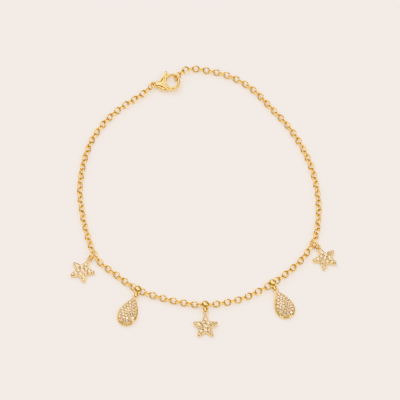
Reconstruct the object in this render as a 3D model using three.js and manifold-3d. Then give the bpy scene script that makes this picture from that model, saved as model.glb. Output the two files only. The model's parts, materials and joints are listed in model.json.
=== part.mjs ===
// Charm necklace: a closed rolo chain with a lobster clasp and five charms, three paved stars and
// two paved drops, as it lies on a flat surface. Millimetres, +Z up, the surface at z = 0, the
// middle of the necklace over the origin, the clasp at the far side (+Y).
import * as THREE from 'three';
import { mergeVertices } from 'three/addons/utils/BufferGeometryUtils.js';
import Module from 'manifold-3d';

const wasm = await Module();
wasm.setup();

// ---------------------------------------------------------------- driving dimensions

const GAP = 0.3; // clearance that loose pieces keep
const LINK = { outer: 3.7, wire: 0.65 }; // the links that the chain tube stands for
const CHAIN = { diameter: 2.5, sides: 8, step: 5.2 };
const CORNER_LINK = { roll: 20, z: 2.35 }; // degrees from flat, and its middle on the star's ring

// The clasp's rings and the stars' rings stand up along a heading and lean over from upright.
const END_RING = { outer: 5.1, wire: 0.64, x: -12.57, y: 68.16, z: 2.5, heading: 48, lean: 10 };
const TAIL_RING = { outer: 3.9, wire: 0.6, x: -25.6, y: 62.38, z: 2.3, heading: 42, lean: 14 };
const STAR_RING = { outer: 4.5, wire: 0.72, z: 2.25, lean: 12 };

const STAR = { tip: 6.1, waist: 3.12, tipRound: 0.75, thickness: 2.0, edge: 0.25 };
const DROP = { length: 15.1, width: 9.4, wall: 1.3, crown: 3.3, swell: 0.8, sides: 36 };
const LOOP = { outer: 2.9, wire: 0.5 }; // the ring soldered to the top of each charm

const BAIL = {
  chainEnd: 2.05, // radius of the round end that the chain runs through
  charmEnd: 1.0, // radius of the end that carries the charm's loop
  reach: 3.2, // from the middle of one end to the middle of the other
  strip: 0.35, // thickness of the metal
};

// Half width of a bail, seen from above, along its length: from is measured from its round end.
const BAIL_OUTLINE = [
  { from: -2.2, half: 0.75 },
  { from: -1.3, half: 1.2 },
  { from: -0.2, half: 1.36 },
  { from: 1.2, half: 1.28 },
  { from: 2.1, half: 1.15 },
  { from: 3.2, half: 0.95 },
  { from: 4.4, half: 0.7 },
];

const CLASP = {
  x: -15.4, // middle of the claw's hole
  y: 65.0,
  z: 2.4, // middle of its thickness
  thickness: 3.2, // over the cheeks
  holeX: 2.7, // half axes of the claw's hole
  holeY: 3.2,
  bevel: 0.35,
};

// The claw curls round its hole, from inside the cheeks to its tip, and tapers as it goes. Angles
// are in degrees from +X.
const CLAW = {
  root: { angle: 205, width: 1.8, thickness: 3.2 },
  tip: { angle: 455, width: 1.35, thickness: 2.6 },
  squareness: 3.2, // of its section: 2 is an ellipse, more is squarer
  stations: 18,
  sides: 14,
};
const EYE = { x: -9.0, y: -1.5, radius: 1.5, hole: 0.85, thickness: 1.4, bevel: 0.25 };
const TAIL_BAR = { thickness: 2.6, bevel: 0.4 };
const PIVOT = { x: -3.9, y: 1.3, pin: 0.4, boss: 1.0 };
const LEVER = { thickness: 1.6, endAngle: 100, backAngle: 160, inset: 0.1, width: 1.3 };

// Outlines of the clasp's parts, from the middle of the claw's hole, round against the clock.
const CHEEKS = [
  { x: -1.6, y: -4.2 },
  { x: -1.9, y: -2.6 },
  { x: -2.3, y: -0.6 },
  { x: -2.3, y: 1.5 },
  { x: -2.8, y: 2.8 },
  { x: -3.8, y: 3.2 },
  { x: -4.9, y: 2.7 },
  { x: -5.6, y: 1.4 },
  { x: -6.2, y: 0.2 },
  { x: -6.9, y: -0.6 },
  { x: -6.9, y: -2.3 },
  { x: -5.6, y: -2.9 },
  { x: -4.0, y: -3.7 },
  { x: -2.6, y: -4.2 },
].reverse();
const TAIL = [
  { x: -8.0, y: -0.3 },
  { x: -8.1, y: -2.7 },
  { x: -6.9, y: -2.8 },
  { x: -5.4, y: -2.7 },
  { x: -5.4, y: 0.1 },
  { x: -6.8, y: -0.1 },
];
const SLOT = [
  { x: -4.4, y: -0.1 },
  { x: -1.0, y: -0.5 },
  { x: 0.6, y: 2.0 },
  { x: -1.0, y: 5.4 },
  { x: -4.6, y: 5.4 },
  { x: -5.2, y: 2.6 },
  { x: -5.2, y: 0.8 },
];
const TAB = [
  { x: -2.5, y: 3.1 },
  { x: -2.3, y: 4.6 },
  { x: -2.1, y: 5.6 },
  { x: -2.9, y: 6.0 },
  { x: -3.7, y: 5.6 },
  { x: -3.9, y: 4.4 },
  { x: -4.2, y: 2.6 },
];

// The route of the chain's middle, in three stretches. z rises where the chain runs through a bail
// or up to the clasp's rings.
const LEFT_ROUTE = [
  { x: -25.6, y: 62.38, z: 2.1 },
  { x: -28.2, y: 60.0, z: 1.6 },
  { x: -32.2, y: 56.7, z: 1.4 },
  { x: -41.0, y: 50.0, z: 1.4 },
  { x: -48.3, y: 41.9, z: 1.4 },
  { x: -53.8, y: 32.6, z: 1.4 },
  { x: -57.5, y: 20.5, z: 1.4 },
  { x: -59.2, y: 6.0, z: 1.4 },
  { x: -58.1, y: -6.0, z: 1.4 },
  { x: -55.8, y: -18.0, z: 1.4 },
  { x: -52.1, y: -30.6, z: 2.35 },
];
const LOWER_ROUTE = [
  { x: -52.1, y: -30.6, z: 2.35 },
  { x: -49.3, y: -34.4, z: 1.5 },
  { x: -41.3, y: -41.4, z: 1.4 },
  { x: -35.8, y: -46.1, z: 1.7 },
  { x: -31.1, y: -49.6, z: 2.05 },
  { x: -24.5, y: -52.3, z: 1.7 },
  { x: -14.4, y: -55.3, z: 1.4 },
  { x: -5.4, y: -57.2, z: 1.7 },
  { x: 0.7, y: -57.7, z: 2.05 },
  { x: 6.4, y: -57.0, z: 1.7 },
  { x: 17.0, y: -54.5, z: 1.4 },
  { x: 26.8, y: -49.7, z: 1.7 },
  { x: 32.4, y: -46.2, z: 2.05 },
  { x: 36.8, y: -42.6, z: 1.7 },
  { x: 46.1, y: -33.3, z: 1.4 },
  { x: 51.7, y: -25.1, z: 2.35 },
];
const RIGHT_ROUTE = [
  { x: 51.7, y: -25.1, z: 2.35 },
  { x: 53.6, y: -18.1, z: 1.4 },
  { x: 54.7, y: -5.0, z: 1.4 },
  { x: 53.4, y: 9.5, z: 1.4 },
  { x: 49.7, y: 23.1, z: 1.4 },
  { x: 42.0, y: 38.5, z: 1.4 },
  { x: 32.2, y: 51.3, z: 1.4 },
  { x: 22.8, y: 62.2, z: 1.4 },
  { x: 12.6, y: 68.8, z: 1.4 },
  { x: 2.8, y: 71.8, z: 1.4 },
  { x: -5.8, y: 73.0, z: 1.6 },
  { x: -9.6, y: 71.8, z: 1.9 },
  { x: -12.57, y: 68.16, z: 2.4 },
];

// A charm that hangs from a bail: the chain point it hangs at, the ways that the bail and the charm
// point in degrees from +X, how far the charm's upper end is tilted up, and how far past its tip
// its loop's middle lies.
const BAIL_CHARMS = [
  { name: 'left', kind: 'drop', x: -31.1, y: -49.6, bail: 253, charm: 249, tilt: 5, loopPast: 0.5 },
  { name: 'centre', kind: 'star', x: 0.7, y: -57.7, bail: 271, charm: 270, tilt: 5, loopPast: 1.2 },
  { name: 'right', kind: 'drop', x: 32.4, y: -46.2, bail: 292, charm: 294, tilt: 5, loopPast: 0.45 },
];

// A star on a ring of its own at a corner of the chain: the corner link, the way the chain runs
// there, and the star's middle and the way its hanging tip points.
const CORNER_STARS = [
  { name: 'left', x: -52.1, y: -30.6, run: -62, starX: -57.4, starY: -39.1, tipHeading: 62 },
  { name: 'right', x: 51.7, y: -25.1, run: 64, starX: 57.4, starY: -32.5, tipHeading: 118 },
];
const CORNER_LOOP = { past: 0.85, z: 1.22 }; // the loop's middle, past the tip and above the back

// ---------------------------------------------------------------- materials

const gold = () => new THREE.MeshStandardMaterial({ color: 0xe0b257, metalness: 1, roughness: 0.22 });
const paved = () => new THREE.MeshStandardMaterial({ color: 0xdcc79a, metalness: 0.7, roughness: 0.3 });

// ---------------------------------------------------------------- solids

const radians = THREE.MathUtils.degToRad;

function solid(geometry, matrix = new THREE.Matrix4()) {
  const bare = geometry.clone().applyMatrix4(matrix);
  bare.deleteAttribute('normal');
  bare.deleteAttribute('uv');
  const merged = mergeVertices(bare, 1e-4);
  return new wasm.Manifold(
    new wasm.Mesh({
      numProp: 3,
      vertProperties: new Float32Array(merged.attributes.position.array),
      triVerts: new Uint32Array(merged.index.array),
    }),
  );
}

function geometryOf(manifold) {
  const mesh = manifold.getMesh();
  const geometry = new THREE.BufferGeometry();
  geometry.setAttribute('position', new THREE.BufferAttribute(mesh.vertProperties, 3));
  geometry.setIndex(new THREE.BufferAttribute(mesh.triVerts, 1));
  geometry.computeVertexNormals();
  return geometry;
}

function node(name, geometry, material) {
  const mesh = new THREE.Mesh(geometry, material);
  mesh.name = name;
  return mesh;
}

// A slab with its outline in XY, its middle at z = 0 and its edges rounded by bevel. The turns are
// the steps that a curve of the outline is cut into.
function slab(shape, thickness, bevel, turns = 12) {
  const geometry = new THREE.ExtrudeGeometry(shape, {
    depth: thickness - 2 * bevel,
    bevelEnabled: bevel > 0,
    bevelThickness: bevel,
    bevelSize: bevel,
    bevelOffset: -bevel,
    bevelSegments: 2,
    curveSegments: turns,
  });
  return geometry.translate(0, 0, bevel - thickness / 2);
}

// A closed skin over rings of points, each ring lying inside or over the one before it.
function loft(rings) {
  const sides = rings[0].length;
  const middle = (ring) => ring.reduce((sum, p) => sum.add(p), new THREE.Vector3()).divideScalar(sides);
  const points = [...rings.flat(), middle(rings[0]), middle(rings.at(-1))];
  const index = [];
  for (let row = 0; row + 1 < rings.length; row += 1) {
    for (let i = 0; i < sides; i += 1) {
      const a = row * sides + i;
      const b = row * sides + ((i + 1) % sides);
      index.push(a, b, b + sides, a, b + sides, a + sides);
    }
  }
  const first = rings.length * sides;
  const top = (rings.length - 1) * sides;
  for (let i = 0; i < sides; i += 1) {
    const next = (i + 1) % sides;
    index.push(first, next, i, first + 1, top + i, top + next);
  }
  const geometry = new THREE.BufferGeometry().setFromPoints(points);
  geometry.setIndex(index);
  return geometry;
}

// A wire ring in the XY plane.
function wireRing({ outer, wire }) {
  return new THREE.TorusGeometry((outer - wire) / 2, wire / 2, 7, 20);
}

// A wire ring that stands up along a heading and leans over about it.
function standingRing(size, { x, y, z }, heading, lean) {
  const along = new THREE.Vector3(Math.cos(radians(heading)), Math.sin(radians(heading)), 0);
  const matrix = new THREE.Matrix4().makeRotationAxis(along, radians(90 - lean));
  matrix.setPosition(x, y, z);
  return wireRing(size).applyMatrix4(matrix);
}

// ---------------------------------------------------------------- chain

function routeCurve(route) {
  return new THREE.CatmullRomCurve3(route.map(({ x, y, z }) => new THREE.Vector3(x, y, z)));
}

function chainSection() {
  const section = new THREE.Shape();
  for (let i = 0; i < CHAIN.sides; i += 1) {
    const angle = ((i + 0.5) / CHAIN.sides) * 2 * Math.PI;
    const point = [Math.cos(angle) * CHAIN.diameter / 2, Math.sin(angle) * CHAIN.diameter / 2];
    if (i === 0) section.moveTo(...point);
    else section.lineTo(...point);
  }
  section.closePath();
  return section;
}

// The stretch of chain along a route, cut back at both ends to clear what it hooks into.
function chainStretch(name, route, cutStart, cutEnd) {
  const curve = routeCurve(route);
  const length = curve.getLength();
  const steps = Math.ceil((length - cutStart - cutEnd) / CHAIN.step);
  const points = [];
  for (let i = 0; i <= steps; i += 1) {
    const along = cutStart + ((length - cutStart - cutEnd) * i) / steps;
    points.push(curve.getPointAt(along / length));
  }
  const geometry = new THREE.ExtrudeGeometry(chainSection(), {
    steps,
    bevelEnabled: false,
    extrudePath: new THREE.CatmullRomCurve3(points),
  });
  return node(name, geometry, gold());
}

// ---------------------------------------------------------------- charms

function starShape() {
  const shape = new THREE.Shape();
  const at = (angle, radius) => [Math.cos(angle) * radius, Math.sin(angle) * radius];
  for (let i = 0; i < 5; i += 1) {
    const tip = Math.PI / 2 + (i * 2 * Math.PI) / 5;
    const waist = tip + Math.PI / 5;
    const [tx, ty] = at(tip, STAR.tip - STAR.tipRound);
    if (i === 0) shape.moveTo(...at(tip - Math.PI / 5, STAR.waist));
    shape.absarc(tx, ty, STAR.tipRound, tip - 1.2, tip + 1.2, false);
    shape.lineTo(...at(waist, STAR.waist));
  }
  shape.closePath();
  return shape;
}

function charmLoop(y, z) {
  return solid(wireRing(LOOP), new THREE.Matrix4().makeTranslation(0, y, z));
}

// The back of a charm lies at z = 0 and its tip points along +Y.
function starSolid(loopAt, loopZ) {
  const body = slab(starShape(), STAR.thickness, STAR.edge, 3).translate(0, 0, STAR.thickness / 2);
  return solid(body).add(charmLoop(loopAt, loopZ));
}

// The drop's outline at one height: a slender tip at +Y that swells into a round foot.
function dropRing(scale, z) {
  const foot = DROP.width / 2;
  const widest = Math.acos(-DROP.swell / (2 + DROP.swell));
  const full = Math.sin(widest) * Math.sin(widest / 2) ** DROP.swell;
  const ring = [];
  for (let i = 0; i < DROP.sides; i += 1) {
    const turn = (i / DROP.sides) * 2 * Math.PI;
    const x = (-foot * Math.sin(turn) * Math.abs(Math.sin(turn / 2)) ** DROP.swell) / full;
    const y = ((Math.cos(turn) + 1) / 2) * DROP.length - foot;
    ring.push(new THREE.Vector3(x * scale, y * scale, z));
  }
  return ring;
}

// A flat back, an upright wall and a domed face.
function dropSolid(loopAt, loopZ) {
  const rings = [dropRing(1, 0), dropRing(1, DROP.wall)];
  for (const rise of [0.3, 0.55, 0.75, 0.9, 0.98]) {
    rings.push(dropRing(0.96 * Math.sqrt(1 - rise ** 2), DROP.wall + rise * (DROP.crown - DROP.wall)));
  }
  return solid(loft(rings)).add(charmLoop(loopAt, loopZ));
}

// ---------------------------------------------------------------- bails

// The loop of a bail seen from its side: a round end, a narrow end and the straight runs between.
function bailProfile(chainEnd, charmEnd) {
  const shape = new THREE.Shape();
  const slope = Math.asin((chainEnd - charmEnd) / BAIL.reach);
  shape.absarc(0, 0, chainEnd, Math.PI / 2 - slope, (3 * Math.PI) / 2 + slope, false);
  shape.absarc(BAIL.reach, 0, charmEnd, -Math.PI / 2 + slope, Math.PI / 2 - slope, false);
  shape.closePath();
  return shape;
}

function bailOutline() {
  const shape = new THREE.Shape();
  const right = BAIL_OUTLINE.map(({ from, half }) => new THREE.Vector2(half, -from));
  const left = [...BAIL_OUTLINE].reverse().map(({ from, half }) => new THREE.Vector2(-half, -from));
  shape.moveTo(left[0].x, left[0].y);
  shape.splineThru(left.slice(1));
  shape.lineTo(right[0].x, right[0].y);
  shape.splineThru(right.slice(1));
  shape.closePath();
  return shape;
}

function block(shape, depth, turns) {
  const geometry = new THREE.ExtrudeGeometry(shape, { depth, bevelEnabled: false, curveSegments: turns });
  return geometry.translate(0, 0, -depth / 2);
}

// The bail runs from the chain at the origin along -Y, and its charm end stands higher by rise.
function bailSolid(rise) {
  const beyond = 12; // longer than the bail any way
  const stand = new THREE.Matrix4().makeBasis(
    new THREE.Vector3(0, -1, 0),
    new THREE.Vector3(0, 0, 1),
    new THREE.Vector3(-1, 0, 0),
  );
  const loop = solid(block(bailProfile(BAIL.chainEnd, BAIL.charmEnd), beyond, 7), stand);
  const bore = bailProfile(BAIL.chainEnd - BAIL.strip, BAIL.charmEnd - BAIL.strip);
  const strip = loop.subtract(solid(block(bore, 2 * beyond, 7), stand));
  const shaped = strip.intersect(solid(block(bailOutline(), beyond, 2)));
  return solid(geometryOf(shaped), new THREE.Matrix4().makeRotationX(-Math.asin(rise / BAIL.reach)));
}

// A bail and its charm. Each is made pointing along -Y and then turned to its own heading, the
// charm about its loop's middle, which lies in the bail's narrow end.
function bailCharm({ name, kind, x, y, bail: bailHeading, charm: charmHeading, tilt, loopPast }) {
  const star = kind === 'star';
  const tip = star ? STAR.tip : DROP.length - DROP.width / 2;
  const foot = star ? STAR.tip * Math.cos(Math.PI / 5) : DROP.width / 2;
  const loopAt = tip + loopPast;
  const loopZ = (star ? STAR.thickness : DROP.wall) / 2;
  const lean = radians(tilt);
  const lift = foot * Math.sin(lean);
  const loopHeight = lift + loopAt * Math.sin(lean) + loopZ * Math.cos(lean);
  const loopFrom = BAIL.reach + BAIL.charmEnd - BAIL.strip / 2;

  const bail = node(`${name}_bail`, geometryOf(bailSolid(loopHeight - BAIL.chainEnd)), gold());
  bail.position.set(0, 0, BAIL.chainEnd);
  const bailGroup = new THREE.Group().add(bail);
  bailGroup.position.set(x, y, 0);
  bailGroup.rotation.z = radians(bailHeading + 90);

  const body = star ? starSolid(loopAt, loopZ) : dropSolid(loopAt, loopZ);
  const charm = node(`${name}_${kind}`, geometryOf(body), paved());
  charm.position.set(0, -loopAt * Math.cos(lean), lift);
  charm.rotation.x = lean;
  const charmGroup = new THREE.Group().add(charm);
  charmGroup.position.set(
    x + loopFrom * Math.cos(radians(bailHeading)),
    y + loopFrom * Math.sin(radians(bailHeading)),
    0,
  );
  charmGroup.rotation.z = radians(charmHeading + 90);
  return new THREE.Group().add(bailGroup, charmGroup);
}

// ---------------------------------------------------------------- corner stars

function cornerStar({ name, x, y, run, starX, starY, tipHeading }) {
  const loopAt = STAR.tip + CORNER_LOOP.past;
  const star = node(`${name}_star`, geometryOf(starSolid(loopAt, CORNER_LOOP.z)), paved());
  star.position.set(starX, starY, 0);
  star.rotation.z = radians(tipHeading - 90);

  const loopX = starX + loopAt * Math.cos(radians(tipHeading));
  const loopY = starY + loopAt * Math.sin(radians(tipHeading));
  const middle = { x: (x + loopX) / 2, y: (y + loopY) / 2, z: STAR_RING.z };
  const heading = THREE.MathUtils.radToDeg(Math.atan2(loopY - y, loopX - x));
  const facing = Math.cos(radians(heading)) < 0 ? heading + 180 : heading;
  const ring = node(
    `${name}_star_ring`,
    standingRing(STAR_RING, middle, facing, STAR_RING.lean),
    gold(),
  );
  const link = node(
    `${name}_corner_link`,
    standingRing(LINK, { x, y, z: CORNER_LINK.z }, run, 90 - CORNER_LINK.roll),
    gold(),
  );
  return new THREE.Group().add(star, ring, link);
}

// ---------------------------------------------------------------- clasp

// A band between two ellipses, from one angle round to another, in degrees.
function band(inner, outer, from, to) {
  const shape = new THREE.Shape();
  shape.absellipse(0, 0, outer.x, outer.y, radians(from), radians(to), false, 0);
  shape.absellipse(0, 0, inner.x, inner.y, radians(to), radians(from), true, 0);
  shape.closePath();
  return shape;
}

function disc(x, y, radius) {
  return new THREE.Shape().absarc(x, y, radius, 0, 2 * Math.PI, false);
}

function oval({ x, y }) {
  return new THREE.Shape().absellipse(0, 0, x, y, 0, 2 * Math.PI, false, 0);
}

function outline(table) {
  const shape = new THREE.Shape();
  shape.moveTo(table[0].x, table[0].y);
  shape.splineThru(table.slice(1).map(({ x, y }) => new THREE.Vector2(x, y)));
  shape.closePath();
  return shape;
}

const HOLE = { x: CLASP.holeX, y: CLASP.holeY };

// The claw's section at a station, from 0 at its root to 1 at its tip.
function clawRing(station) {
  const angle = radians(THREE.MathUtils.lerp(CLAW.root.angle, CLAW.tip.angle, station));
  const width = THREE.MathUtils.lerp(CLAW.root.width, CLAW.tip.width, station);
  const thickness = THREE.MathUtils.lerp(CLAW.root.thickness, CLAW.tip.thickness, station);
  const rounded = (value) => Math.sign(value) * Math.abs(value) ** (2 / CLAW.squareness);
  const ring = [];
  for (let i = 0; i < CLAW.sides; i += 1) {
    const turn = (i / CLAW.sides) * 2 * Math.PI;
    const out = (width / 2) * (1 + rounded(Math.sin(turn)));
    const x = Math.cos(angle) * (HOLE.x + out);
    const y = Math.sin(angle) * (HOLE.y + out);
    ring.push(new THREE.Vector3(x, y, (thickness / 2) * rounded(Math.cos(turn))));
  }
  return ring;
}

// The claw, the cheeks that hold the lever and the tail with its eye, in one.
function claspBody() {
  const stations = Array.from({ length: CLAW.stations + 1 }, (_, i) => i / CLAW.stations);
  const claw = solid(loft(stations.map(clawRing)));
  const cheeks = solid(slab(outline(CHEEKS), CLASP.thickness, CLASP.bevel, 2));
  const tail = solid(slab(outline(TAIL), TAIL_BAR.thickness, TAIL_BAR.bevel, 2));
  const eyeRim = solid(slab(disc(EYE.x, EYE.y, EYE.radius), EYE.thickness, EYE.bevel));
  const slot = solid(slab(outline(SLOT), LEVER.thickness + 2 * GAP, 0, 2));
  const hole = solid(slab(oval(HOLE), 2 * CLASP.thickness, 0));
  const eye = solid(slab(disc(EYE.x, EYE.y, EYE.hole), CLASP.thickness, 0));
  const pin = solid(slab(disc(PIVOT.x, PIVOT.y, PIVOT.pin), CLASP.thickness - 0.2, 0));
  return cheeks.subtract(hole).add(claw).add(tail).add(eyeRim).subtract(slot).subtract(eye).add(pin);
}

// The gate that closes the claw, the boss round the pin and the thumb tab, in one.
function claspLever() {
  const inner = { x: HOLE.x + LEVER.inset, y: HOLE.y + LEVER.inset };
  const outer = { x: HOLE.x + LEVER.width, y: HOLE.y + LEVER.width };
  const part = (shape, turns) => solid(slab(shape, LEVER.thickness, 0.12, turns));
  const gate = part(band(inner, outer, LEVER.endAngle, LEVER.backAngle));
  const boss = part(disc(PIVOT.x, PIVOT.y, PIVOT.boss));
  const tab = part(outline(TAB), 2);
  const bore = solid(slab(disc(PIVOT.x, PIVOT.y, PIVOT.pin + GAP), 2 * LEVER.thickness, 0));
  return gate.add(boss).add(tab).subtract(bore);
}

function clasp() {
  const group = new THREE.Group().add(
    node('clasp_body', geometryOf(claspBody()), gold()),
    node('clasp_lever', geometryOf(claspLever()), gold()),
  );
  group.position.set(CLASP.x, CLASP.y, CLASP.z);
  return group;
}

// ---------------------------------------------------------------- necklace

const linkCut = LINK.outer / 2 + 1.2 * GAP;
const necklace = new THREE.Group().add(
  chainStretch('chain_left', LEFT_ROUTE, TAIL_RING.outer / 2 + GAP, linkCut),
  chainStretch('chain_lower', LOWER_ROUTE, linkCut, linkCut),
  chainStretch('chain_right', RIGHT_ROUTE, linkCut, END_RING.outer / 2 + GAP),
  ...BAIL_CHARMS.map(bailCharm),
  ...CORNER_STARS.map(cornerStar),
  node('tail_ring', standingRing(TAIL_RING, TAIL_RING, TAIL_RING.heading, TAIL_RING.lean), gold()),
  node('end_ring', standingRing(END_RING, END_RING, END_RING.heading, END_RING.lean), gold()),
  clasp(),
);

export default necklace;
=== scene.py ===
"""Dresses the charm necklace: rolo chain, lobster clasp, paved stars and drops, bails and rings.

Sizes and places in the classes are millimetres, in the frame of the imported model: +Z up from the
surface, +Y from the charms towards the clasp. A mesh is turned into metres when it is made. Every
shape is a surface worked out as whole arrays: a function of two parameters on a grid, or a section
carried along a path.
"""

import sys

import json
import logging
import math
from dataclasses import dataclass, field
from enum import Enum
from typing import NamedTuple

import bpy
import numpy as np
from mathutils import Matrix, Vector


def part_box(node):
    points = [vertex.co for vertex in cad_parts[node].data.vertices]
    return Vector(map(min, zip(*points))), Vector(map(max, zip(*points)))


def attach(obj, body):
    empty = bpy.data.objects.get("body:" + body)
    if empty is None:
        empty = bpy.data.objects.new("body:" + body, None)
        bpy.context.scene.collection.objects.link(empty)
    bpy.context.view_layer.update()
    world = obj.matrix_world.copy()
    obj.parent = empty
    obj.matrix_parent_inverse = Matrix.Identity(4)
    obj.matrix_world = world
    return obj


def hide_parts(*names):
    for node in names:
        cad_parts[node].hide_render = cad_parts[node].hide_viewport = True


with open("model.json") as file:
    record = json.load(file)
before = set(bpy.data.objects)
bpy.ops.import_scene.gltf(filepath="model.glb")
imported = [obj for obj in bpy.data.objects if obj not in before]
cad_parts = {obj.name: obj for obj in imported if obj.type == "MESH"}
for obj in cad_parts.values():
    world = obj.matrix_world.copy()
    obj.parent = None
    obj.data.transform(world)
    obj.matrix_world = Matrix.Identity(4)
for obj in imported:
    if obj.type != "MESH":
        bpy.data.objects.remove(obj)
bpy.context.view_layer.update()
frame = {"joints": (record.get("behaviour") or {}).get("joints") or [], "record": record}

Colour = tuple[float, float, float, float]
Spot = tuple[float, float]
Point = tuple[float, float, float]

MM = 0.001
TURN = 2.0 * math.pi
RIGHT = np.array([1.0, 0.0, 0.0])
UP = np.array([0.0, 0.0, 1.0])
SOFT_SQUARE = 2.6  # the squareness of a section whose corners are softly rounded
SPLINE_STEPS = 5  # points that each stretch of a drawn outline gives
log = logging.getLogger("necklace")


class Body(Enum):
    """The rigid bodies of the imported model."""

    NECKLACE = "necklace"
    LEVER = "lever"


class Slot(Enum):
    """The record's material slots."""

    GOLD = "polished_gold"
    STONES = "paved_stones"


class Charm(Enum):
    """The forms that a charm comes in."""

    STAR = "star"
    DROP = "drop"


# ------------------------------------------------------------------ arrays


def unit(vectors: np.ndarray) -> np.ndarray:
    """Scales each vector to length 1."""
    return vectors / np.linalg.norm(vectors, axis=-1, keepdims=True)


def circle(steps: int) -> np.ndarray:
    """Gives evenly spaced angles round a full turn, in radians."""
    return np.linspace(0.0, TURN, steps, endpoint=False)


def polar(angles: np.ndarray) -> np.ndarray:
    """Gives each angle's direction in the XY plane, as (..., 2)."""
    return np.stack([np.cos(angles), np.sin(angles)], axis=-1)


def lifted(spots: np.ndarray, height: float | np.ndarray) -> np.ndarray:
    """Gives flat points a third number, a height or a size: one for all, or one for each."""
    return np.column_stack([spots, np.broadcast_to(height, len(spots))])


def turned(radii: np.ndarray, heights: np.ndarray, steps: int) -> np.ndarray:
    """Turns a profile about Z: each radius times a cosine and a sine, at its height.

    Args:
        radii: the profile's radii, as (..., rows).
        heights: its heights.
        steps: steps round.

    Returns:
        The points as (..., rows, steps, 3).
    """
    flat = radii[..., None, None] * polar(circle(steps))
    rise = np.broadcast_to(heights[..., None, None], (*flat.shape[:-1], 1))
    return np.concatenate([flat, rise], axis=-1)


def rounded(values: np.ndarray, squareness: float) -> np.ndarray:
    """Bends a sine or cosine towards a square wave: the sign times the size to the 2/squareness.

    Args:
        values: sines or cosines.
        squareness: 2 leaves a circle, more makes its corners squarer.

    Returns:
        The bent values.
    """
    return np.sign(values) * np.abs(values) ** (2.0 / squareness)


def turn_about(axis: np.ndarray, degrees: float) -> np.ndarray:
    """Makes the matrix that turns points about an axis by the right-hand rule.

    The matrix is I + sin(a) K + (1 - cos(a)) K K, with K the cross product matrix of the axis.

    Args:
        axis: a vector of length 1.
        degrees: the angle.

    Returns:
        A 3 by 3 matrix.
    """
    x, y, z = axis
    cross = np.array([[0.0, -z, y], [z, 0.0, -x], [-y, x, 0.0]])
    angle = math.radians(degrees)
    return np.eye(3) + math.sin(angle) * cross + (1.0 - math.cos(angle)) * cross @ cross


@dataclass(frozen=True)
class Place:
    """Where something stands: a turn and then a shift."""

    turn: np.ndarray = field(default_factory=lambda: np.eye(3))
    shift: np.ndarray = field(default_factory=lambda: np.zeros(3))

    def put(self, points: np.ndarray) -> np.ndarray:
        """Moves points from the thing's own frame into the frame it stands in."""
        return points @ self.turn.T + self.shift

    def after(self, inner: "Place") -> "Place":
        """Joins two places: the inner one first, then this one."""
        return Place(self.turn @ inner.turn, self.put(inner.shift))


def facing(heading: float, x: float, y: float) -> Place:
    """Stands a thing that points along -Y so that it points along a heading from x, y."""
    return Place(turn_about(UP, heading + 90.0), np.array([x, y, 0.0]))


# ------------------------------------------------------------------ skins


@dataclass
class Skin:
    """A closed surface: its points, and its faces as one array for each number of corners."""

    points: np.ndarray
    faces: list[np.ndarray]

    @staticmethod
    def repeated(copies: np.ndarray, faces: list[np.ndarray]) -> "Skin":
        """Gives every copy of a set of points the same faces.

        Args:
            copies: the points, copy by copy, as (copies, points, 3).
            faces: the faces of one copy.

        Returns:
            One skin with all the copies.
        """
        number, size = copies.shape[:2]
        shift = (np.arange(number) * size)[:, None, None]
        spread = [(f[None] + shift).reshape(-1, f.shape[1]) for f in faces]
        return Skin(copies.reshape(-1, 3), spread)

    @staticmethod
    def over(grids: np.ndarray, closed: bool = False, tips: np.ndarray | None = None) -> "Skin":
        """Covers grids whose columns run round and whose rows run along.

        Args:
            grids: the points as (copies, rows, columns, 3), or without copies.
            closed: whether the last row joins the first, as on a ring.
            tips: the points that close the first and the last row, as (copies, 2, 3); the
                middle of each row if they are left out.

        Returns:
            The skin, with its faces outwards.
        """
        grids = grids if grids.ndim == 4 else grids[None]
        number, rows, columns = grids.shape[:3]
        ring = np.arange(columns)
        near = np.stack([ring, np.roll(ring, -1)])
        row = np.arange(rows if closed else rows - 1)[:, None]
        here, there = row * columns, ((row + 1) % rows) * columns
        quads = np.stack([here + near[0], here + near[1], there + near[1], there + near[0]], axis=-1)
        faces = [quads.reshape(-1, 4)]
        flat = grids.reshape(number, rows * columns, 3)
        if not closed:
            if tips is None:
                tips = np.stack([grids[:, 0].mean(axis=1), grids[:, -1].mean(axis=1)], axis=1)
            first = rows * columns
            last = (rows - 1) * columns
            start = np.stack([np.full(columns, first), near[1], near[0]], axis=-1)
            end = np.stack([np.full(columns, first + 1), last + near[0], last + near[1]], axis=-1)
            faces.append(np.concatenate([start, end]))
            flat = np.concatenate([flat, tips.reshape(number, 2, 3)], axis=1)
        return Skin.repeated(flat, faces).outward()

    @staticmethod
    def joined(skins: list["Skin"]) -> "Skin":
        """Puts several skins into one, side by side."""
        faces: dict[int, list[np.ndarray]] = {}
        start = 0
        for skin in skins:
            for part in skin.faces:
                faces.setdefault(part.shape[1], []).append(part + start)
            start += len(skin.points)
        points = np.concatenate([skin.points for skin in skins])
        return Skin(points, [np.concatenate(parts) for parts in faces.values()])

    def placed(self, place: Place) -> "Skin":
        """Moves the skin to a place."""
        return Skin(place.put(self.points), self.faces)

    def volume(self) -> float:
        """Adds up the volume under each face: a sixth of a . (b x c) over its triangles."""
        total = 0.0
        for part in self.faces:
            for corner in range(1, part.shape[1] - 1):
                a, b, c = (self.points[part[:, i]] for i in (0, corner, corner + 1))
                total += float(np.einsum("ij,ij->", a, np.cross(b, c))) / 6.0
        return total

    def outward(self) -> "Skin":
        """Turns every face round if they point inwards."""
        if self.volume() >= 0.0:
            return self
        return Skin(self.points, [part[:, ::-1] for part in self.faces])


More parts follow.
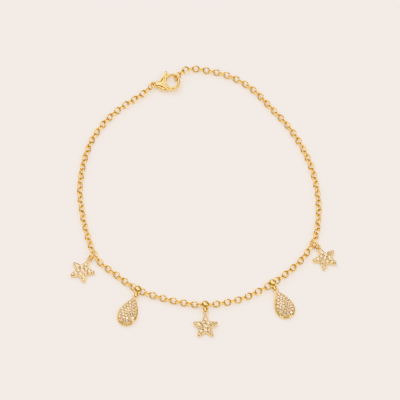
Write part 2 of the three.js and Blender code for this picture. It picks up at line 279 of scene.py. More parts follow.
def wire_ring(length: float, width: float, wire: float, around: int, across: int) -> np.ndarray:
    """Lays a round or oval wire ring in the XY plane.

    A point is the middle line's reach along X or Y plus half the wire times a cosine out from
    the middle, and half the wire times a sine up.

    Args:
        length: the ring's outer size along X.
        width: its outer size along Y.
        wire: the wire's diameter.
        around: steps round the ring.
        across: steps round the wire.

    Returns:
        The points as (around, across, 3).
    """
    u = circle(around)[:, None]
    v = circle(across)[None]
    out = wire / 2.0 * np.cos(v)
    height = wire / 2.0 * np.sin(v) + 0.0 * u
    x = ((length - wire) / 2.0 + out) * np.cos(u)
    y = ((width - wire) / 2.0 + out) * np.sin(u)
    return np.stack([x, y, height], axis=-1)


def cut_ring(outer: float, wire: float, gap: float, start: float, around: int, across: int) -> Skin:
    """Bends a wire into a ring whose two ends nearly meet.

    Args:
        outer: the ring's outer diameter.
        wire: the wire's diameter.
        gap: the slit between the ends.
        start: the slit's direction in degrees from +X.
        around: steps along the wire.
        across: steps round it.

    Returns:
        The ring's skin, in the XY plane.
    """
    radius = (outer - wire) / 2.0
    half = gap / radius / 2.0
    u = np.linspace(half, TURN - half, around) + math.radians(start)
    out = lifted(polar(u), 0.0)
    return sweep(out * radius, out, np.full(around, wire), np.full(around, wire), 2.0, across)


def sweep(
    path: np.ndarray,
    side: np.ndarray,
    width: np.ndarray,
    height: np.ndarray,
    squareness: float,
    across: int,
) -> Skin:
    """Carries an oval section along a flat path and closes both ends.

    A point of the section lies half the width times a cosine to the side and half the height
    times a sine up, both bent by the squareness.

    Args:
        path: the section's middles, as (steps, 3).
        side: the direction of the section's width at each step.
        width: the section's width at each step.
        height: its height along Z at each step.
        squareness: 2 for an ellipse, more for a squarer section.
        across: steps round the section.

    Returns:
        The skin.
    """
    v = circle(across)
    out = rounded(np.cos(v), squareness)[None, :, None] * side[:, None] * width[:, None, None] / 2.0
    rise = rounded(np.sin(v), squareness)[None, :, None] * UP * height[:, None, None] / 2.0
    return Skin.over(path[:, None] + out + rise)


def closed_spline(spots: tuple[Spot, ...]) -> np.ndarray:
    """Runs a smooth closed curve through points in a plane.

    Between two points it is the cubic whose slope at each is half the way from the point before
    to the point after.

    Args:
        spots: the points.

    Returns:
        The curve's points, as (number times SPLINE_STEPS, 2).
    """
    corners = np.array(spots)
    t = np.linspace(0.0, 1.0, SPLINE_STEPS, endpoint=False)[None, :, None]
    here, there = corners[:, None], np.roll(corners, -1, axis=0)[:, None]
    slope = (np.roll(corners, -1, axis=0) - np.roll(corners, 1, axis=0))[:, None] / 2.0
    next_slope = np.roll(slope, -1, axis=0)
    curve = (
        (2 * t**3 - 3 * t**2 + 1) * here
        + (t**3 - 2 * t**2 + t) * slope
        + (3 * t**2 - 2 * t**3) * there
        + (t**3 - t**2) * next_slope
    )
    return curve.reshape(-1, 2)


def inset(outline: np.ndarray, amount: float) -> np.ndarray:
    """Draws an outline in by an amount, square to its edges.

    Each corner moves along the sum of its two edges' inward normals, by the amount over 1 plus
    the cosine of the angle between them.

    Args:
        outline: a closed outline that runs against the clock, as (number, 2).
        amount: how far its edges move in.

    Returns:
        The smaller outline.
    """
    edge = unit(np.roll(outline, -1, axis=0) - outline)
    ahead = np.stack([-edge[:, 1], edge[:, 0]], axis=-1)
    behind = np.roll(ahead, 1, axis=0)
    spread = 1.0 + np.sum(ahead * behind, axis=-1, keepdims=True)
    return outline + amount * (ahead + behind) / spread


def clearance(points: np.ndarray, outline: np.ndarray) -> np.ndarray:
    """Gives each point's distance to the nearest point of a closed outline's nearest edge."""
    edge = np.roll(outline, -1, axis=0) - outline
    gone = points[:, None] - outline[None]
    along = np.clip(np.sum(gone * edge, axis=-1) / np.sum(edge**2, axis=-1), 0.0, 1.0)
    return np.linalg.norm(gone - along[..., None] * edge, axis=-1).min(axis=1)


HALVINGS = 14


def drawn_in(outline: np.ndarray, amount: float) -> np.ndarray:
    """Draws an outline in by an amount, each point along its line to the origin.

    The share of its line that a point keeps is halved in on, HALVINGS times, until the point's
    clearance from the outline is the amount.

    Args:
        outline: a closed outline round the origin, as (number, 2).
        amount: how far its edges move in.

    Returns:
        The smaller outline.
    """
    low, high = np.zeros(len(outline)), np.ones(len(outline))
    for _ in range(HALVINGS):
        share = (low + high) / 2.0
        clear = clearance(outline * share[:, None], outline) >= amount
        low, high = np.where(clear, share, low), np.where(clear, high, share)
    return outline * low[:, None]


def reach_share(points: np.ndarray, outline: np.ndarray) -> np.ndarray:
    """Says how far from the origin to a closed outline each point lies, 1 being on it."""
    angle = np.arctan2(outline[:, 1], outline[:, 0])
    order = np.argsort(angle)
    reach = np.hypot(outline[order, 0], outline[order, 1])
    there = np.arctan2(points[:, 1], points[:, 0])
    return np.hypot(points[:, 0], points[:, 1]) / np.interp(there, angle[order], reach, period=TURN)


class Level(NamedTuple):
    """One level of a star or a plate."""

    draw: float  # how far its outline is drawn in
    keep: float  # how much of that is then kept, towards the outline's middle
    height: float


def shell(outline: np.ndarray, levels: list[Level]) -> Skin:
    """Builds a closed body from level copies of an outline, from its back to its face.

    Args:
        outline: a closed outline that runs against the clock, as (number, 2).
        levels: its levels, from the back to the face.

    Returns:
        The skin.
    """
    middle = outline.mean(axis=0)
    rows = [
        lifted(middle + level.keep * (inset(outline, level.draw) - middle), level.height)
        for level in levels
    ]
    return Skin.over(np.stack(rows))


RIM_STEPS = 9  # levels round the edge of a plate
FACE_SHARES = (0.12, 0.35, 0.6, 0.82)  # how far out the levels of its faces lie


def pillow(outline: np.ndarray, low: float, high: float, edge: float, dome: float) -> Skin:
    """Builds a plate with round edges and faces that swell towards their middle.

    Args:
        outline: a closed outline that runs against the clock.
        low: the height of its lower face.
        high: the height of its upper face.
        edge: how far its edges round inwards.
        dome: how far each face swells past its edge.

    Returns:
        The skin.
    """
    half, middle = (high - low) / 2.0, (high + low) / 2.0
    angles = np.radians(np.linspace(-90.0, 90.0, RIM_STEPS))
    draws = edge * (1.0 - rounded(np.cos(angles), SOFT_SQUARE))
    heights = middle + half * rounded(np.sin(angles), SOFT_SQUARE)
    rim = [Level(draw, 1.0, height) for draw, height in zip(draws, heights)]
    back = [Level(edge, k, low - dome * (1.0 - k**2)) for k in FACE_SHARES]
    face = [Level(edge, k, high + dome * (1.0 - k**2)) for k in reversed(FACE_SHARES)]
    return shell(outline, back + rim + face)


BEAD_LATITUDES = (-54.0, -18.0, 18.0, 54.0)
BEAD_SIDES = 8


def beads(centres: np.ndarray, radii: np.ndarray) -> Skin:
    """Sets round beads: at each height the sine of the latitude, the ring's radius its cosine.

    Args:
        centres: the beads' middles, as (number, 3).
        radii: their radii.

    Returns:
        All the beads in one skin.
    """
    latitude = np.radians(BEAD_LATITUDES)
    ball = turned(np.cos(latitude), np.sin(latitude), BEAD_SIDES)
    size = radii[:, None, None]
    poles = np.array([-UP, UP])
    grids = centres[:, None, None] + ball * size[..., None]
    return Skin.over(grids, tips=centres[:, None] + poles * size)


# ------------------------------------------------------------------ finishes


class Grain(NamedTuple):
    """The grain of a noise."""

    scale: float  # patches to a metre
    detail: float  # finer layers on top of them


class Graph:
    """Adds and links the nodes of one material."""

    def __init__(self, name: str) -> None:
        """Starts an empty material."""
        self.material = bpy.data.materials.new(name)
        self.material.use_nodes = True
        self.tree = self.material.node_tree
        self.tree.nodes.clear()

    def add(self, kind: str, values: dict | None = None, **settings: object) -> bpy.types.Node:
        """Adds a node.

        Args:
            kind: the node's type.
            values: a value or a linked output for each named input.
            settings: the node's own properties.

        Returns:
            The node.
        """
        node = self.tree.nodes.new(kind)
        for name, value in settings.items():
            setattr(node, name, value)
        for name, value in (values or {}).items():
            if isinstance(value, bpy.types.NodeSocket):
                self.tree.links.new(value, node.inputs[name])
            else:
                node.inputs[name].default_value = value
        return node

    def coordinates(self) -> bpy.types.NodeSocket:
        """Gives the piece's own coordinates, in metres."""
        return self.add("ShaderNodeTexCoord").outputs["Object"]

    def noise(self, grain: Grain, where: bpy.types.NodeSocket) -> bpy.types.NodeSocket:
        """Gives a noise of a grain."""
        values = {"Vector": where, "Scale": grain.scale, "Detail": grain.detail}
        return self.add("ShaderNodeTexNoise", values).outputs["Fac"]

    def ranged(
        self, source: bpy.types.NodeSocket, ends: Spot, low: float, high: float
    ) -> bpy.types.NodeSocket:
        """Maps a value onto low to high, low at the first of two ends and high at the second."""
        near, far = ends
        values = {"Value": source, "From Min": near, "From Max": far, "To Min": low, "To Max": high}
        return self.add("ShaderNodeMapRange", values).outputs["Result"]

    def spread(self, source: bpy.types.NodeSocket, low: float, high: float) -> bpy.types.NodeSocket:
        """Stretches a noise's middle range over low to high."""
        return self.ranged(source, (0.3, 0.7), low, high)

    def blend(self, share: bpy.types.NodeSocket, first: Colour, second: Colour) -> bpy.types.NodeSocket:
        """Blends two colours, by a share that runs from 0 for the first to 1 for the second."""
        mix = self.add("ShaderNodeMix", {"Factor": share}, data_type="RGBA")
        ends = {socket.identifier: socket for socket in mix.inputs}
        ends["A_Color"].default_value = first
        ends["B_Color"].default_value = second
        return next(socket for socket in mix.outputs if socket.identifier == "Result_Color")

    def bump(
        self, height: bpy.types.NodeSocket, depth: float, **under: bpy.types.NodeSocket
    ) -> bpy.types.NodeSocket:
        """Raises a bump of a depth in metres, over another one if that is given as Normal."""
        values = {"Height": height, "Distance": depth, **under}
        return self.add("ShaderNodeBump", values).outputs["Normal"]

    def surfaced(self, values: dict) -> bpy.types.Material:
        """Sends a shader with the values to the material's output and returns the material."""
        skin = self.add("ShaderNodeBsdfPrincipled", values)
        self.add("ShaderNodeOutputMaterial", {"Surface": skin.outputs["BSDF"]})
        return self.material


@dataclass(frozen=True)
class PolishedGold:
    """Lacquered yellow gold plate, shade painted deeper into its recesses, soft waves and fine
    scratches.
    """

    name: str = "polished gold"
    light: Colour = (1.0, 0.79, 0.34, 1.0)
    # the deep colour serves both the random patches and the painted shade in the recesses
    deep: Colour = (0.92, 0.57, 0.11, 1.0)
    patches: Grain = Grain(420.0, 3.0)
    patch_tone: float = 0.2
    # painted shade: how far the recesses reach, how finely they are sampled, over what open share and
    # how strongly they are darkened
    shade_reach: float = 0.0022
    shade_samples: int = 8
    shade_open: Spot = (0.9, 0.35)
    shade_tone: float = 0.9
    lacquer: float = 0.8
    lacquer_ior: float = 1.8
    polish: Grain = Grain(1500.0, 4.0)
    smoothest: float = 0.1
    roughest: float = 0.17
    waves: Grain = Grain(700.0, 2.0)
    wave_depth: float = 0.000006
    scratches: Grain = Grain(2600.0, 6.0)
    scratch_stretch: Point = (1.0, 9.0, 4.0)
    scratch_depth: float = 0.0000015

    def material(self) -> bpy.types.Material:
        """Builds the finish.

        The share of the deep colour is the patches' plus a painted shade in the recesses, which grows
        from none to the shade's tone while the open share of the sky above a point falls over the
        shade's range.

        Returns:
            The material.
        """
        g = Graph(self.name)
        where = g.coordinates()
        near = g.add(
            "ShaderNodeAmbientOcclusion", {"Distance": self.shade_reach}, samples=self.shade_samples
        )
        # painted shade: the deep colour is mixed in where the sky above a point is hidden, darkening
        # recesses and creases
        painted_shade = g.ranged(near.outputs["AO"], self.shade_open, 0.0, self.shade_tone)
        tone = g.spread(g.noise(self.patches, where), 0.0, self.patch_tone)
        share = g.add("ShaderNodeMath", {0: tone, 1: painted_shade}, operation="ADD", use_clamp=True)
        stretch = g.add("ShaderNodeMapping", {"Vector": where, "Scale": self.scratch_stretch})
        scratch = g.noise(self.scratches, stretch.outputs["Vector"])
        waves = g.bump(g.noise(self.waves, where), self.wave_depth)
        return g.surfaced(
            {
                "Base Color": g.blend(share.outputs["Value"], self.light, self.deep),
                "Roughness": g.spread(g.noise(self.polish, where), self.smoothest, self.roughest),
                "Normal": g.bump(scratch, self.scratch_depth, Normal=waves),
                "Metallic": 1.0,
                "Coat Weight": self.lacquer,
                "Coat IOR": self.lacquer_ior,
                "Coat Roughness": self.smoothest,
            }
        )


@dataclass(frozen=True)
class ClearStone:
    """A cut stone with the fire of zirconia painted into its colour in rose and green; partly
    mirroring.
    """

    name: str = "clear stone"
    # painted fire: the two tints give the stone its warm colour and stand in for the coloured light it
    # throws
    rose: Colour = (0.93, 0.77, 0.71, 1.0)
    green: Colour = (0.73, 0.70, 0.48, 1.0)
    fire_grain: Grain = Grain(650.0, 1.0)
    contrast: Spot = (-0.6, 1.4)
    ior: float = 2.1
    roughness: float = 0.05
    mirror: float = 0.36

    def material(self) -> bpy.types.Material:
        """Builds the finish.

        Returns:
            The material.
        """
        g = Graph(self.name)
        # painted fire: noise picks each spot's tint between rose and green
        painted_fire = g.spread(g.noise(self.fire_grain, g.coordinates()), *self.contrast)
        return g.surfaced(
            {
                "Base Color": g.blend(painted_fire, self.rose, self.green),
                "Roughness": self.roughness,
                "IOR": self.ior,
                "Metallic": self.mirror,
            }
        )


@dataclass(frozen=True)
class PaleSurface:
    """The plain pale surface that the necklace lies on, which the gold mirrors a little darker."""

    name: str = "pale surface"
    tint: Colour = (0.73, 0.75, 0.81, 1.0)
    warmth: Colour = (1.0, 0.90, 0.81, 1.0)
    nap: Grain = Grain(30.0, 3.0)
    roughness: Spot = (0.55, 0.7)
    depth: float = 0.5
    reach: Point = (1.0, 1.0, 1.0)
    scale: float = 0.002
    glow: float = 0.36
    seen_in_gold: float = 0.3

    def material(self) -> bpy.types.Material:
        """Builds the finish.

        Returns:
            The material.
        """
        g = Graph(self.name)
        mirrored = g.add("ShaderNodeLightPath").outputs["Is Glossy Ray"]
        return g.surfaced(
            {
                "Base Color": self.tint,
                "Roughness": g.spread(g.noise(self.nap, g.coordinates()), *self.roughness),
                "Subsurface Weight": self.depth,
                "Subsurface Radius": self.reach,
                "Subsurface Scale": self.scale,
                "Emission Color": self.warmth,
                "Emission Strength": g.ranged(mirrored, (0.0, 1.0), self.glow, self.seen_in_gold),
            }
        )


# ------------------------------------------------------------------ pieces


@dataclass
class Workshop:
    """Turns skins into pieces of the necklace and reports each of them."""

    gold: bpy.types.Material
    setting: bpy.types.Material
    stone: bpy.types.Material

    def piece(
        self,
        name: str,
        skin: Skin,
        slot: Slot = Slot.GOLD,
        body: Body = Body.NECKLACE,
        stands_for: tuple[str, ...] = (),
        crease: float = 40.0,
        setting: bool = False,
    ) -> None:
        """Makes a piece, gives it its finish and lets it ride on its body.

        Args:
            name: the piece's name.
            skin: its surface, in millimetres.
            slot: the material slot that its finish belongs to.
            body: the body that it moves with.
            stands_for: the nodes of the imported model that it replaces.
            crease: the angle in degrees past which an edge stays sharp; 0 for flat facets.
            setting: whether it is of the softer gold that holds the stones.
        """
        mesh = bpy.data.meshes.new(name)
        corners = np.concatenate([part.ravel() for part in skin.faces])
        sizes = np.concatenate([np.full(len(part), part.shape[1]) for part in skin.faces])
        mesh.vertices.add(len(skin.points))
        mesh.vertices.foreach_set("co", (skin.points * MM).astype(np.float32).ravel())
        mesh.loops.add(len(corners))
        mesh.loops.foreach_set("vertex_index", corners.astype(np.int32))
        mesh.polygons.add(len(sizes))
        mesh.polygons.foreach_set("loop_start", (np.cumsum(sizes) - sizes).astype(np.int32))
        mesh.update(calc_edges=True)
        mesh.validate()
        if crease:
            mesh.shade_smooth()
            mesh.set_sharp_from_angle(angle=math.radians(crease))
        else:
            mesh.shade_flat()
        gold = self.setting if setting else self.gold
        mesh.materials.append(gold if slot is Slot.GOLD else self.stone)
        piece = bpy.data.objects.new(name, mesh)
        bpy.context.scene.collection.objects.link(piece)
        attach(piece, body.value)
        if stands_for:
            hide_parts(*stands_for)
        self.report(name, skin, stands_for)

    def report(self, name: str, skin: Skin, stands_for: tuple[str, ...]) -> None:
        """Logs a piece's faces, its volume and how far its box lies from its nodes' box."""
        count = sum(len(part) for part in skin.faces)
        off = "none"
        if stands_for:
            boxes = [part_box(node) for node in stands_for]
            low = np.min([np.array(b[0]) for b in boxes], axis=0) / MM
            high = np.max([np.array(b[1]) for b in boxes], axis=0) / MM
            gaps = [low - skin.points.min(axis=0), skin.points.max(axis=0) - high]
            off = np.round(np.concatenate(gaps), 2).tolist()
        log.info("%s: %d faces, %.2f mm3, box past its nodes by %s", name, count, skin.volume(), off)


# ------------------------------------------------------------------ chain


# Heights of the chain's middle: on the surface, beside and in a bail, and at a corner link.
LYING, BY_BAIL, IN_BAIL, AT_CORNER = 1.5, 1.7, 2.05, 2.35
BAIL_SPOTS = {"left": (-31.1, -49.6), "centre": (0.7, -57.7), "right": (32.4, -46.2)}
LEFT_CORNER = (-52.1, -30.6, AT_CORNER)
RIGHT_CORNER = (51.7, -25.1, AT_CORNER)
ROUTE_STEPS = 80  # points of the line from one listed point to the next

# The left stretch starts at the tail ring, the lower one at its left and the right one at its
# corner; the right one ends at the end ring.
LEFT_ROUTE = (
    (-25.6, 62.38, 2.1),
    (-28.2, 60.0, 1.6),
    (-32.2, 56.7, LYING),
    (-41.0, 50.0, LYING),
    (-48.3, 41.9, LYING),
    (-53.8, 32.6, LYING),
    (-57.5, 20.5, LYING),
    (-59.2, 6.0, LYING),
    (-58.1, -6.0, LYING),
    (-55.8, -18.0, LYING),
    LEFT_CORNER,
)
LOWER_ROUTE = (
    LEFT_CORNER,
    (-49.3, -34.4, 1.6),
    (-41.3, -41.4, LYING),
    (-35.8, -46.1, BY_BAIL),
    (*BAIL_SPOTS["left"], IN_BAIL),
    (-24.5, -52.3, BY_BAIL),
    (-14.4, -55.3, LYING),
    (-5.4, -57.2, BY_BAIL),
    (*BAIL_SPOTS["centre"], IN_BAIL),
    (6.4, -57.0, BY_BAIL),
    (17.0, -54.5, LYING),
    (26.8, -49.7, BY_BAIL),
    (*BAIL_SPOTS["right"], IN_BAIL),
    (36.8, -42.6, BY_BAIL),
    (46.1, -33.3, LYING),
    RIGHT_CORNER,
)
RIGHT_ROUTE = (
    RIGHT_CORNER,
    (53.6, -18.1, LYING),
    (54.7, -5.0, LYING),
    (53.4, 9.5, LYING),
    (49.7, 23.1, LYING),
    (42.0, 38.5, LYING),
    (32.2, 51.3, LYING),
    (22.8, 62.2, LYING),
    (12.6, 68.8, LYING),
    (2.8, 71.8, LYING),
    (-5.8, 73.0, 1.6),
    (-9.6, 71.8, 1.9),
    (-12.57, 68.16, 2.4),
)


@dataclass
class Route:
    """The line that a stretch of chain follows, through listed points."""

    points: tuple[Point, ...]

    def __post_init__(self) -> None:
        """Works out the line.

        Between two points the line is a cubic whose slopes weigh the neighbours by the square
        roots of their distances, so that it neither overshoots nor loops.
        """
        p = np.array(self.points)
        p = np.vstack([2 * p[0] - p[1], p, 2 * p[-1] - p[-2]])
        step = np.sqrt(np.linalg.norm(np.diff(p, axis=0), axis=1))[:, None]
        before, here, after = step[:-2], step[1:-1], step[2:]
        a, b, c, d = p[:-3], p[1:-2], p[2:-1], p[3:]
        leave = ((b - a) / before - (c - a) / (before + here) + (c - b) / here) * here
        arrive = ((c - b) / here - (d - b) / (here + after) + (d - c) / after) * here
        t = np.linspace(0.0, 1.0, ROUTE_STEPS, endpoint=False)[None, :, None]
        b, c, leave, arrive = (v[:, None] for v in (b, c, leave, arrive))
        line = (
            b
            + leave * t
            + (3 * (c - b) - 2 * leave - arrive) * t**2
            + (2 * (b - c) + leave + arrive) * t**3
        )
        self.line = np.vstack([line.reshape(-1, 3), p[-2]])
        steps = np.linalg.norm(np.diff(self.line, axis=0), axis=1)
        self.marks = np.concatenate([[0.0], np.cumsum(steps)])

    @property
    def length(self) -> float:
        """The line's length."""
        return float(self.marks[-1])

    def at(self, distances: np.ndarray) -> np.ndarray:
        """Gives the line's points at distances from its start."""
        return np.stack([np.interp(distances, self.marks, self.line[:, i]) for i in range(3)], -1)

    def nearest(self, x: float, y: float) -> float:
        """Gives the distance from the start of the line's point nearest to x, y."""
        return float(self.marks[np.argmin(np.hypot(self.line[:, 0] - x, self.line[:, 1] - y))])


@dataclass
class Chain:
    """The rolo chain, in three stretches between the rings and the two corner links."""

    length: float = 4.1
    width: float = 3.65
    wire: float = 0.75
    roll: float = 45.0
    sway: float = 4.0
    around: int = 20
    across: int = 9
    look: float = 0.8  # how far on each side a link looks along the route for its direction
    bail_links: tuple[int, ...] = (11, 13, 13, 11)  # links from one corner or bail to the next
    tail_hook: float = 2.6  # from the tail ring's middle to the last link's
    end_hook: float = 3.1  # from the end ring's
    first_seed: int = 11
    left: Route = field(default_factory=lambda: Route(LEFT_ROUTE))
    lower: Route = field(default_factory=lambda: Route(LOWER_ROUTE))
    right: Route = field(default_factory=lambda: Route(RIGHT_ROUTE))

    @property
    def pitch(self) -> float:
        """The distance from one link's middle to the next when the chain is drawn straight."""
        return self.length - 2.0 * self.wire

    def links(self, route: Route, marks: np.ndarray, seed: int) -> Skin:
        """Hooks links into each other along a route, each rolled square to its neighbours.

        The first leans its face towards the middle of the necklace and the next away from it.

        Args:
            route: the stretch's line.
            marks: how far along it each link's middle lies.
            seed: the seed of the links' small sways.

        Returns:
            All the links in one skin.
        """
        chance = np.random.default_rng(seed)
        ahead = unit(route.at(marks + self.look) - route.at(marks - self.look))
        across = unit(np.cross(UP, ahead))
        lift = np.cross(ahead, across)
        side = np.where(np.arange(len(marks)) % 2 == 0, -1.0, 1.0)
        roll = np.radians(side * self.roll + chance.uniform(-self.sway, self.sway, len(marks)))
        width = across * np.cos(roll)[:, None] + lift * np.sin(roll)[:, None]
        frames = np.stack([ahead, width, np.cross(ahead, width)], axis=1)
        ring = wire_ring(self.length, self.width, self.wire, self.around, self.across)
        grids = np.einsum("abi,kij->kabj", ring, frames) + route.at(marks)[:, None, None]
        return Skin.over(grids, closed=True)

    def spaced(self, first: float, last: float) -> np.ndarray:
        """Spaces links evenly from one distance to another, at most a pitch apart."""
        number = math.ceil(abs(last - first) / self.pitch) + 1
        return np.linspace(first, last, number)

    def between_bails(self) -> np.ndarray:
        """Spaces the lower stretch's links so that one lies in the middle of each bail."""
        bails = (self.lower.nearest(*spot) for spot in BAIL_SPOTS.values())
        stops = [0.0, *bails, self.lower.length]
        numbers = np.cumsum([0, *self.bail_links])
        return np.interp(np.arange(1, numbers[-1]), numbers, stops)

    def build(self, shop: Workshop) -> None:
        """Makes the three stretches, each from a corner."""
        up_left = self.spaced(self.left.length - self.pitch, self.tail_hook)
        up_right = self.spaced(self.pitch, self.right.length - self.end_hook)
        stretches = (
            ("chain_left", self.left, up_left),
            ("chain_lower", self.lower, self.between_bails()),
            ("chain_right", self.right, up_right),
        )
        for seed, (node, route, marks) in enumerate(stretches, self.first_seed):
            shop.piece(f"{node}_links", self.links(route, marks, seed), stands_for=(node,))
            steps = np.abs(np.diff(marks))
            log.info("%s: %d links, %.3f to %.3f apart", node, len(marks), steps.min(), steps.max())


# ------------------------------------------------------------------ rings


@dataclass(frozen=True)
class Ring:
    """A wire ring that stands up along a heading and leans over about it."""

    node: str
    length: float
    width: float
    wire: float
    heading: float
    lean: float
    slit: float | None = None  # where its two ends meet, in degrees from its length
    gap: float = 0.05
    around: int = 48
    across: int = 16

    def build(self, shop: Workshop) -> None:
        """Makes the ring about the middle of its node's box."""
        low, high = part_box(self.node)
        middle = (np.array(low) + np.array(high)) / 2.0 / MM
        along = np.append(polar(math.radians(self.heading)), 0.0)
        place = Place(turn_about(along, 90.0 - self.lean), middle)
        if self.slit is None:
            grid = wire_ring(self.length, self.width, self.wire, self.around, self.across)
            skin = Skin.over(grid, closed=True)
        else:
            skin = cut_ring(self.length, self.wire, self.gap, self.slit, self.around + 1, self.across)
        shop.piece(f"{self.node}_wire", skin.placed(place), stands_for=(self.node,))


# ------------------------------------------------------------------ stones


class CupRow(NamedTuple):
    """A row of a stone cup's profile: each size a share of the stone's radius plus a length."""

    out: float
    out_plus: float
    up: float
    up_plus: float


@dataclass(frozen=True)
class Setting:
    """Round stones, and the gold cups that they sit in. A stone's sizes are shares of its radius."""

    sides: int = 8
    table: float = 0.56
    crown: float = 0.3
    pavilion: float = 0.8
    wobble: float = 0.05
    cup_sides: int = 12
    cup: tuple[CupRow, ...] = (
        CupRow(0.55, 0.0275, -1.15, 0.0),
        CupRow(1.0, 0.05, -0.5, 0.0),
        CupRow(1.0, 0.05, 0.0, 0.06),
        CupRow(1.0, -0.03, 0.0, 0.03),
        CupRow(0.3, 0.0, -0.8, 0.0),
    )

    def frames(self, normals: np.ndarray, spin: np.ndarray) -> np.ndarray:
        """Stands an upright frame on each normal and spins it.

        Args:
            normals: the stones' upward directions.
            spin: how far each stone is turned about its own, in radians.

        Returns:
            The frames' three rows for each stone.
        """
        across = unit(np.cross(np.array([0.0, 1.0, 0.0]), normals))
        along = np.cross(normals, across)
        first = across * np.cos(spin)[:, None] + along * np.sin(spin)[:, None]
        return np.stack([first, np.cross(normals, first), normals], axis=1)

    def stones(self, centres: np.ndarray, normals: np.ndarray, radii: np.ndarray, seed: int) -> Skin:
        """Cuts the stones: a flat table, a crown of 24 facets and a pavilion of 16.

        Args:
            centres: the middles of the stones' girdles.
            normals: the directions that their tables face.
            radii: their radii.
            seed: the seed of their turns.

        Returns:
            All the stones in one skin.
        """
        chance = np.random.default_rng(seed)
        sides, double = self.sides, 2 * self.sides
        girdle = circle(double)
        points = np.concatenate(
            [
                lifted(self.table * polar(girdle[::2]), self.crown),
                lifted(polar(girdle), 0.0),
                [[0.0, 0.0, -self.pavilion]],
            ]
        )
        k = np.arange(sides)
        rim = sides + np.arange(double)
        main, after, before = (sides + (2 * k + step) % double for step in (0, 1, -1))
        crown = [
            np.stack([k, before, main], -1),
            np.stack([k, main, after], -1),
            np.stack([k, after, (k + 1) % sides], -1),
        ]
        pavilion = np.stack([rim, np.full(double, sides + double), np.roll(rim, -1)], -1)
        faces = [k[None], np.concatenate([*crown, pavilion])]
        tilted = unit(normals + chance.normal(0.0, self.wobble, normals.shape))
        frames = self.frames(tilted, chance.uniform(0.0, TURN, len(radii)))
        copies = np.einsum("ni,kij->knj", points, frames) * radii[:, None, None] + centres[:, None]
        return Skin.repeated(copies, faces).outward()

    def cups(self, centres: np.ndarray, normals: np.ndarray, radii: np.ndarray) -> Skin:
        """Turns the cups that the stones sit in: a lip round the girdle and a cone under it."""
        out, out_plus, up, up_plus = np.array(self.cup).T
        r = radii[:, None]
        local = turned(r * out + out_plus, r * up + up_plus, self.cup_sides)
        frames = self.frames(normals, np.zeros(len(radii)))
        grids = np.einsum("kabi,kij->kabj", local, frames) + centres[:, None, None]
        return Skin.over(grids)


class Size(NamedTuple):
    """A size of stone or bead, and the gap that it keeps; less than 0 lets it overlap."""

    radius: float
    gap: float


SPOT_STEP = 0.09  # how finely the room between stones is searched
ON_LINE = 1e-6  # how near the middle line a spot counts as on it


def packed(
    outline: np.ndarray, edge: float, placed: list[Point], sizes: tuple[Size, ...]
) -> list[Point]:
    """Fills the room between circles inside an outline with more circles, the roomiest spot first.

    Each pair lies the same distance left and right of the middle line.

    Args:
        outline: a closed outline round the origin, the same left and right.
        edge: how far within the outline the circles stay.
        placed: x, y and radius of the circles that are there already.
        sizes: the sizes to fill in, one after the other.

    Returns:
        x, y and radius of the new circles.
    """
    inside = drawn_in(outline, edge)
    span = np.abs(inside).max()
    across, along = np.arange(0.0, span, SPOT_STEP), np.arange(-span, span, SPOT_STEP)
    spots = np.stack(np.meshgrid(across, along), axis=-1).reshape(-1, 2)
    spots = spots[reach_share(spots, inside) < 1.0]
    room = clearance(spots, outline) - edge

    def left_by(x: float, y: float, radius: float) -> np.ndarray:
        """Gives the room that is left at each spot once a circle stands at x, y."""
        return np.minimum(room, np.hypot(spots[:, 0] - x, spots[:, 1] - y) - radius)

    for x, y, radius in placed:
        room = left_by(x, y, radius)
    on_line = spots[:, 0] < ON_LINE
    made: list[Point] = []
    for radius, gap in sizes:
        while True:
            fits = (room >= radius + gap) & (on_line | (spots[:, 0] >= radius + gap / 2.0))
            if not fits.any():
                break
            best = spots[np.argmax(np.where(fits, room, -1.0))]
            pair = [best] if best[0] < ON_LINE else [best, best * [-1.0, 1.0]]
            for x, y in pair:
                made.append((float(x), float(y), radius))
                room = left_by(x, y, radius)
    return made


# ------------------------------------------------------------------ charms


class Five(NamedTuple):
    """Five equal circles, one for each arm of a star."""

    reach: float  # from the star's middle to the circle's
    turn: float  # degrees from the arm
    radius: float


class WallRow(NamedTuple):
    """A row of a drop's wall."""

    draw: float  # how far the outline is drawn in
    share: float  # the share of the wall's height
    plus: float  # what is added to it


@dataclass
class Paved:
    """A charm paved with stones, with a soldered wire loop past its tip.

    Its own frame has its back at z = 0, its middle over the origin and its tip along +Y. Each form
    gives its body, its layout of stones and beads, and its face's height and outward directions.
    """

    loop_outer: float = 2.9
    loop_wire: float = 0.5
    loop_around: int = 32
    loop_across: int = 12
    stone_sink: float = 0.06
    bead_sink: float = 0.06
    seed: int = 0

    def build(self, shop: Workshop, node: str, place: Place, loop_past: float, loop_z: float) -> None:
        """Makes the charm's setting and its stones.

        Args:
            shop: makes the pieces.
            node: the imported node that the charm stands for.
            place: where it lies.
            loop_past: how far past the tip its loop's middle lies.
            loop_z: the height of the loop's middle.
        """
        stones, grips = self.layout()
        normals = self.normals(stones[:, :2])
        centres = lifted(stones[:, :2], self.height(stones[:, :2])) - normals * self.stone_sink
        pins = lifted(grips[:, :2], self.height(grips[:, :2]) - self.bead_sink)
        ring = wire_ring(
            self.loop_outer, self.loop_outer, self.loop_wire, self.loop_around, self.loop_across
        )
        at = Place(shift=np.array([0.0, self.reach + loop_past, loop_z]))
        setting = Setting()
        gold = [
            self.body(),
            setting.cups(centres, normals, stones[:, 2]),
            beads(pins, grips[:, 2]),
            Skin.over(ring, closed=True).placed(at),
        ]
        skin = Skin.joined(gold).placed(place)
        shop.piece(f"{node}_setting", skin, stands_for=(node,), setting=True)
        cut = setting.stones(centres, normals, stones[:, 2], seed=len(node) + self.seed)
        shop.piece(f"{node}_stones", cut.placed(place), Slot.STONES, crease=0.0)
        log.info("%s: %d stones, %d beads", node, len(stones), len(grips))


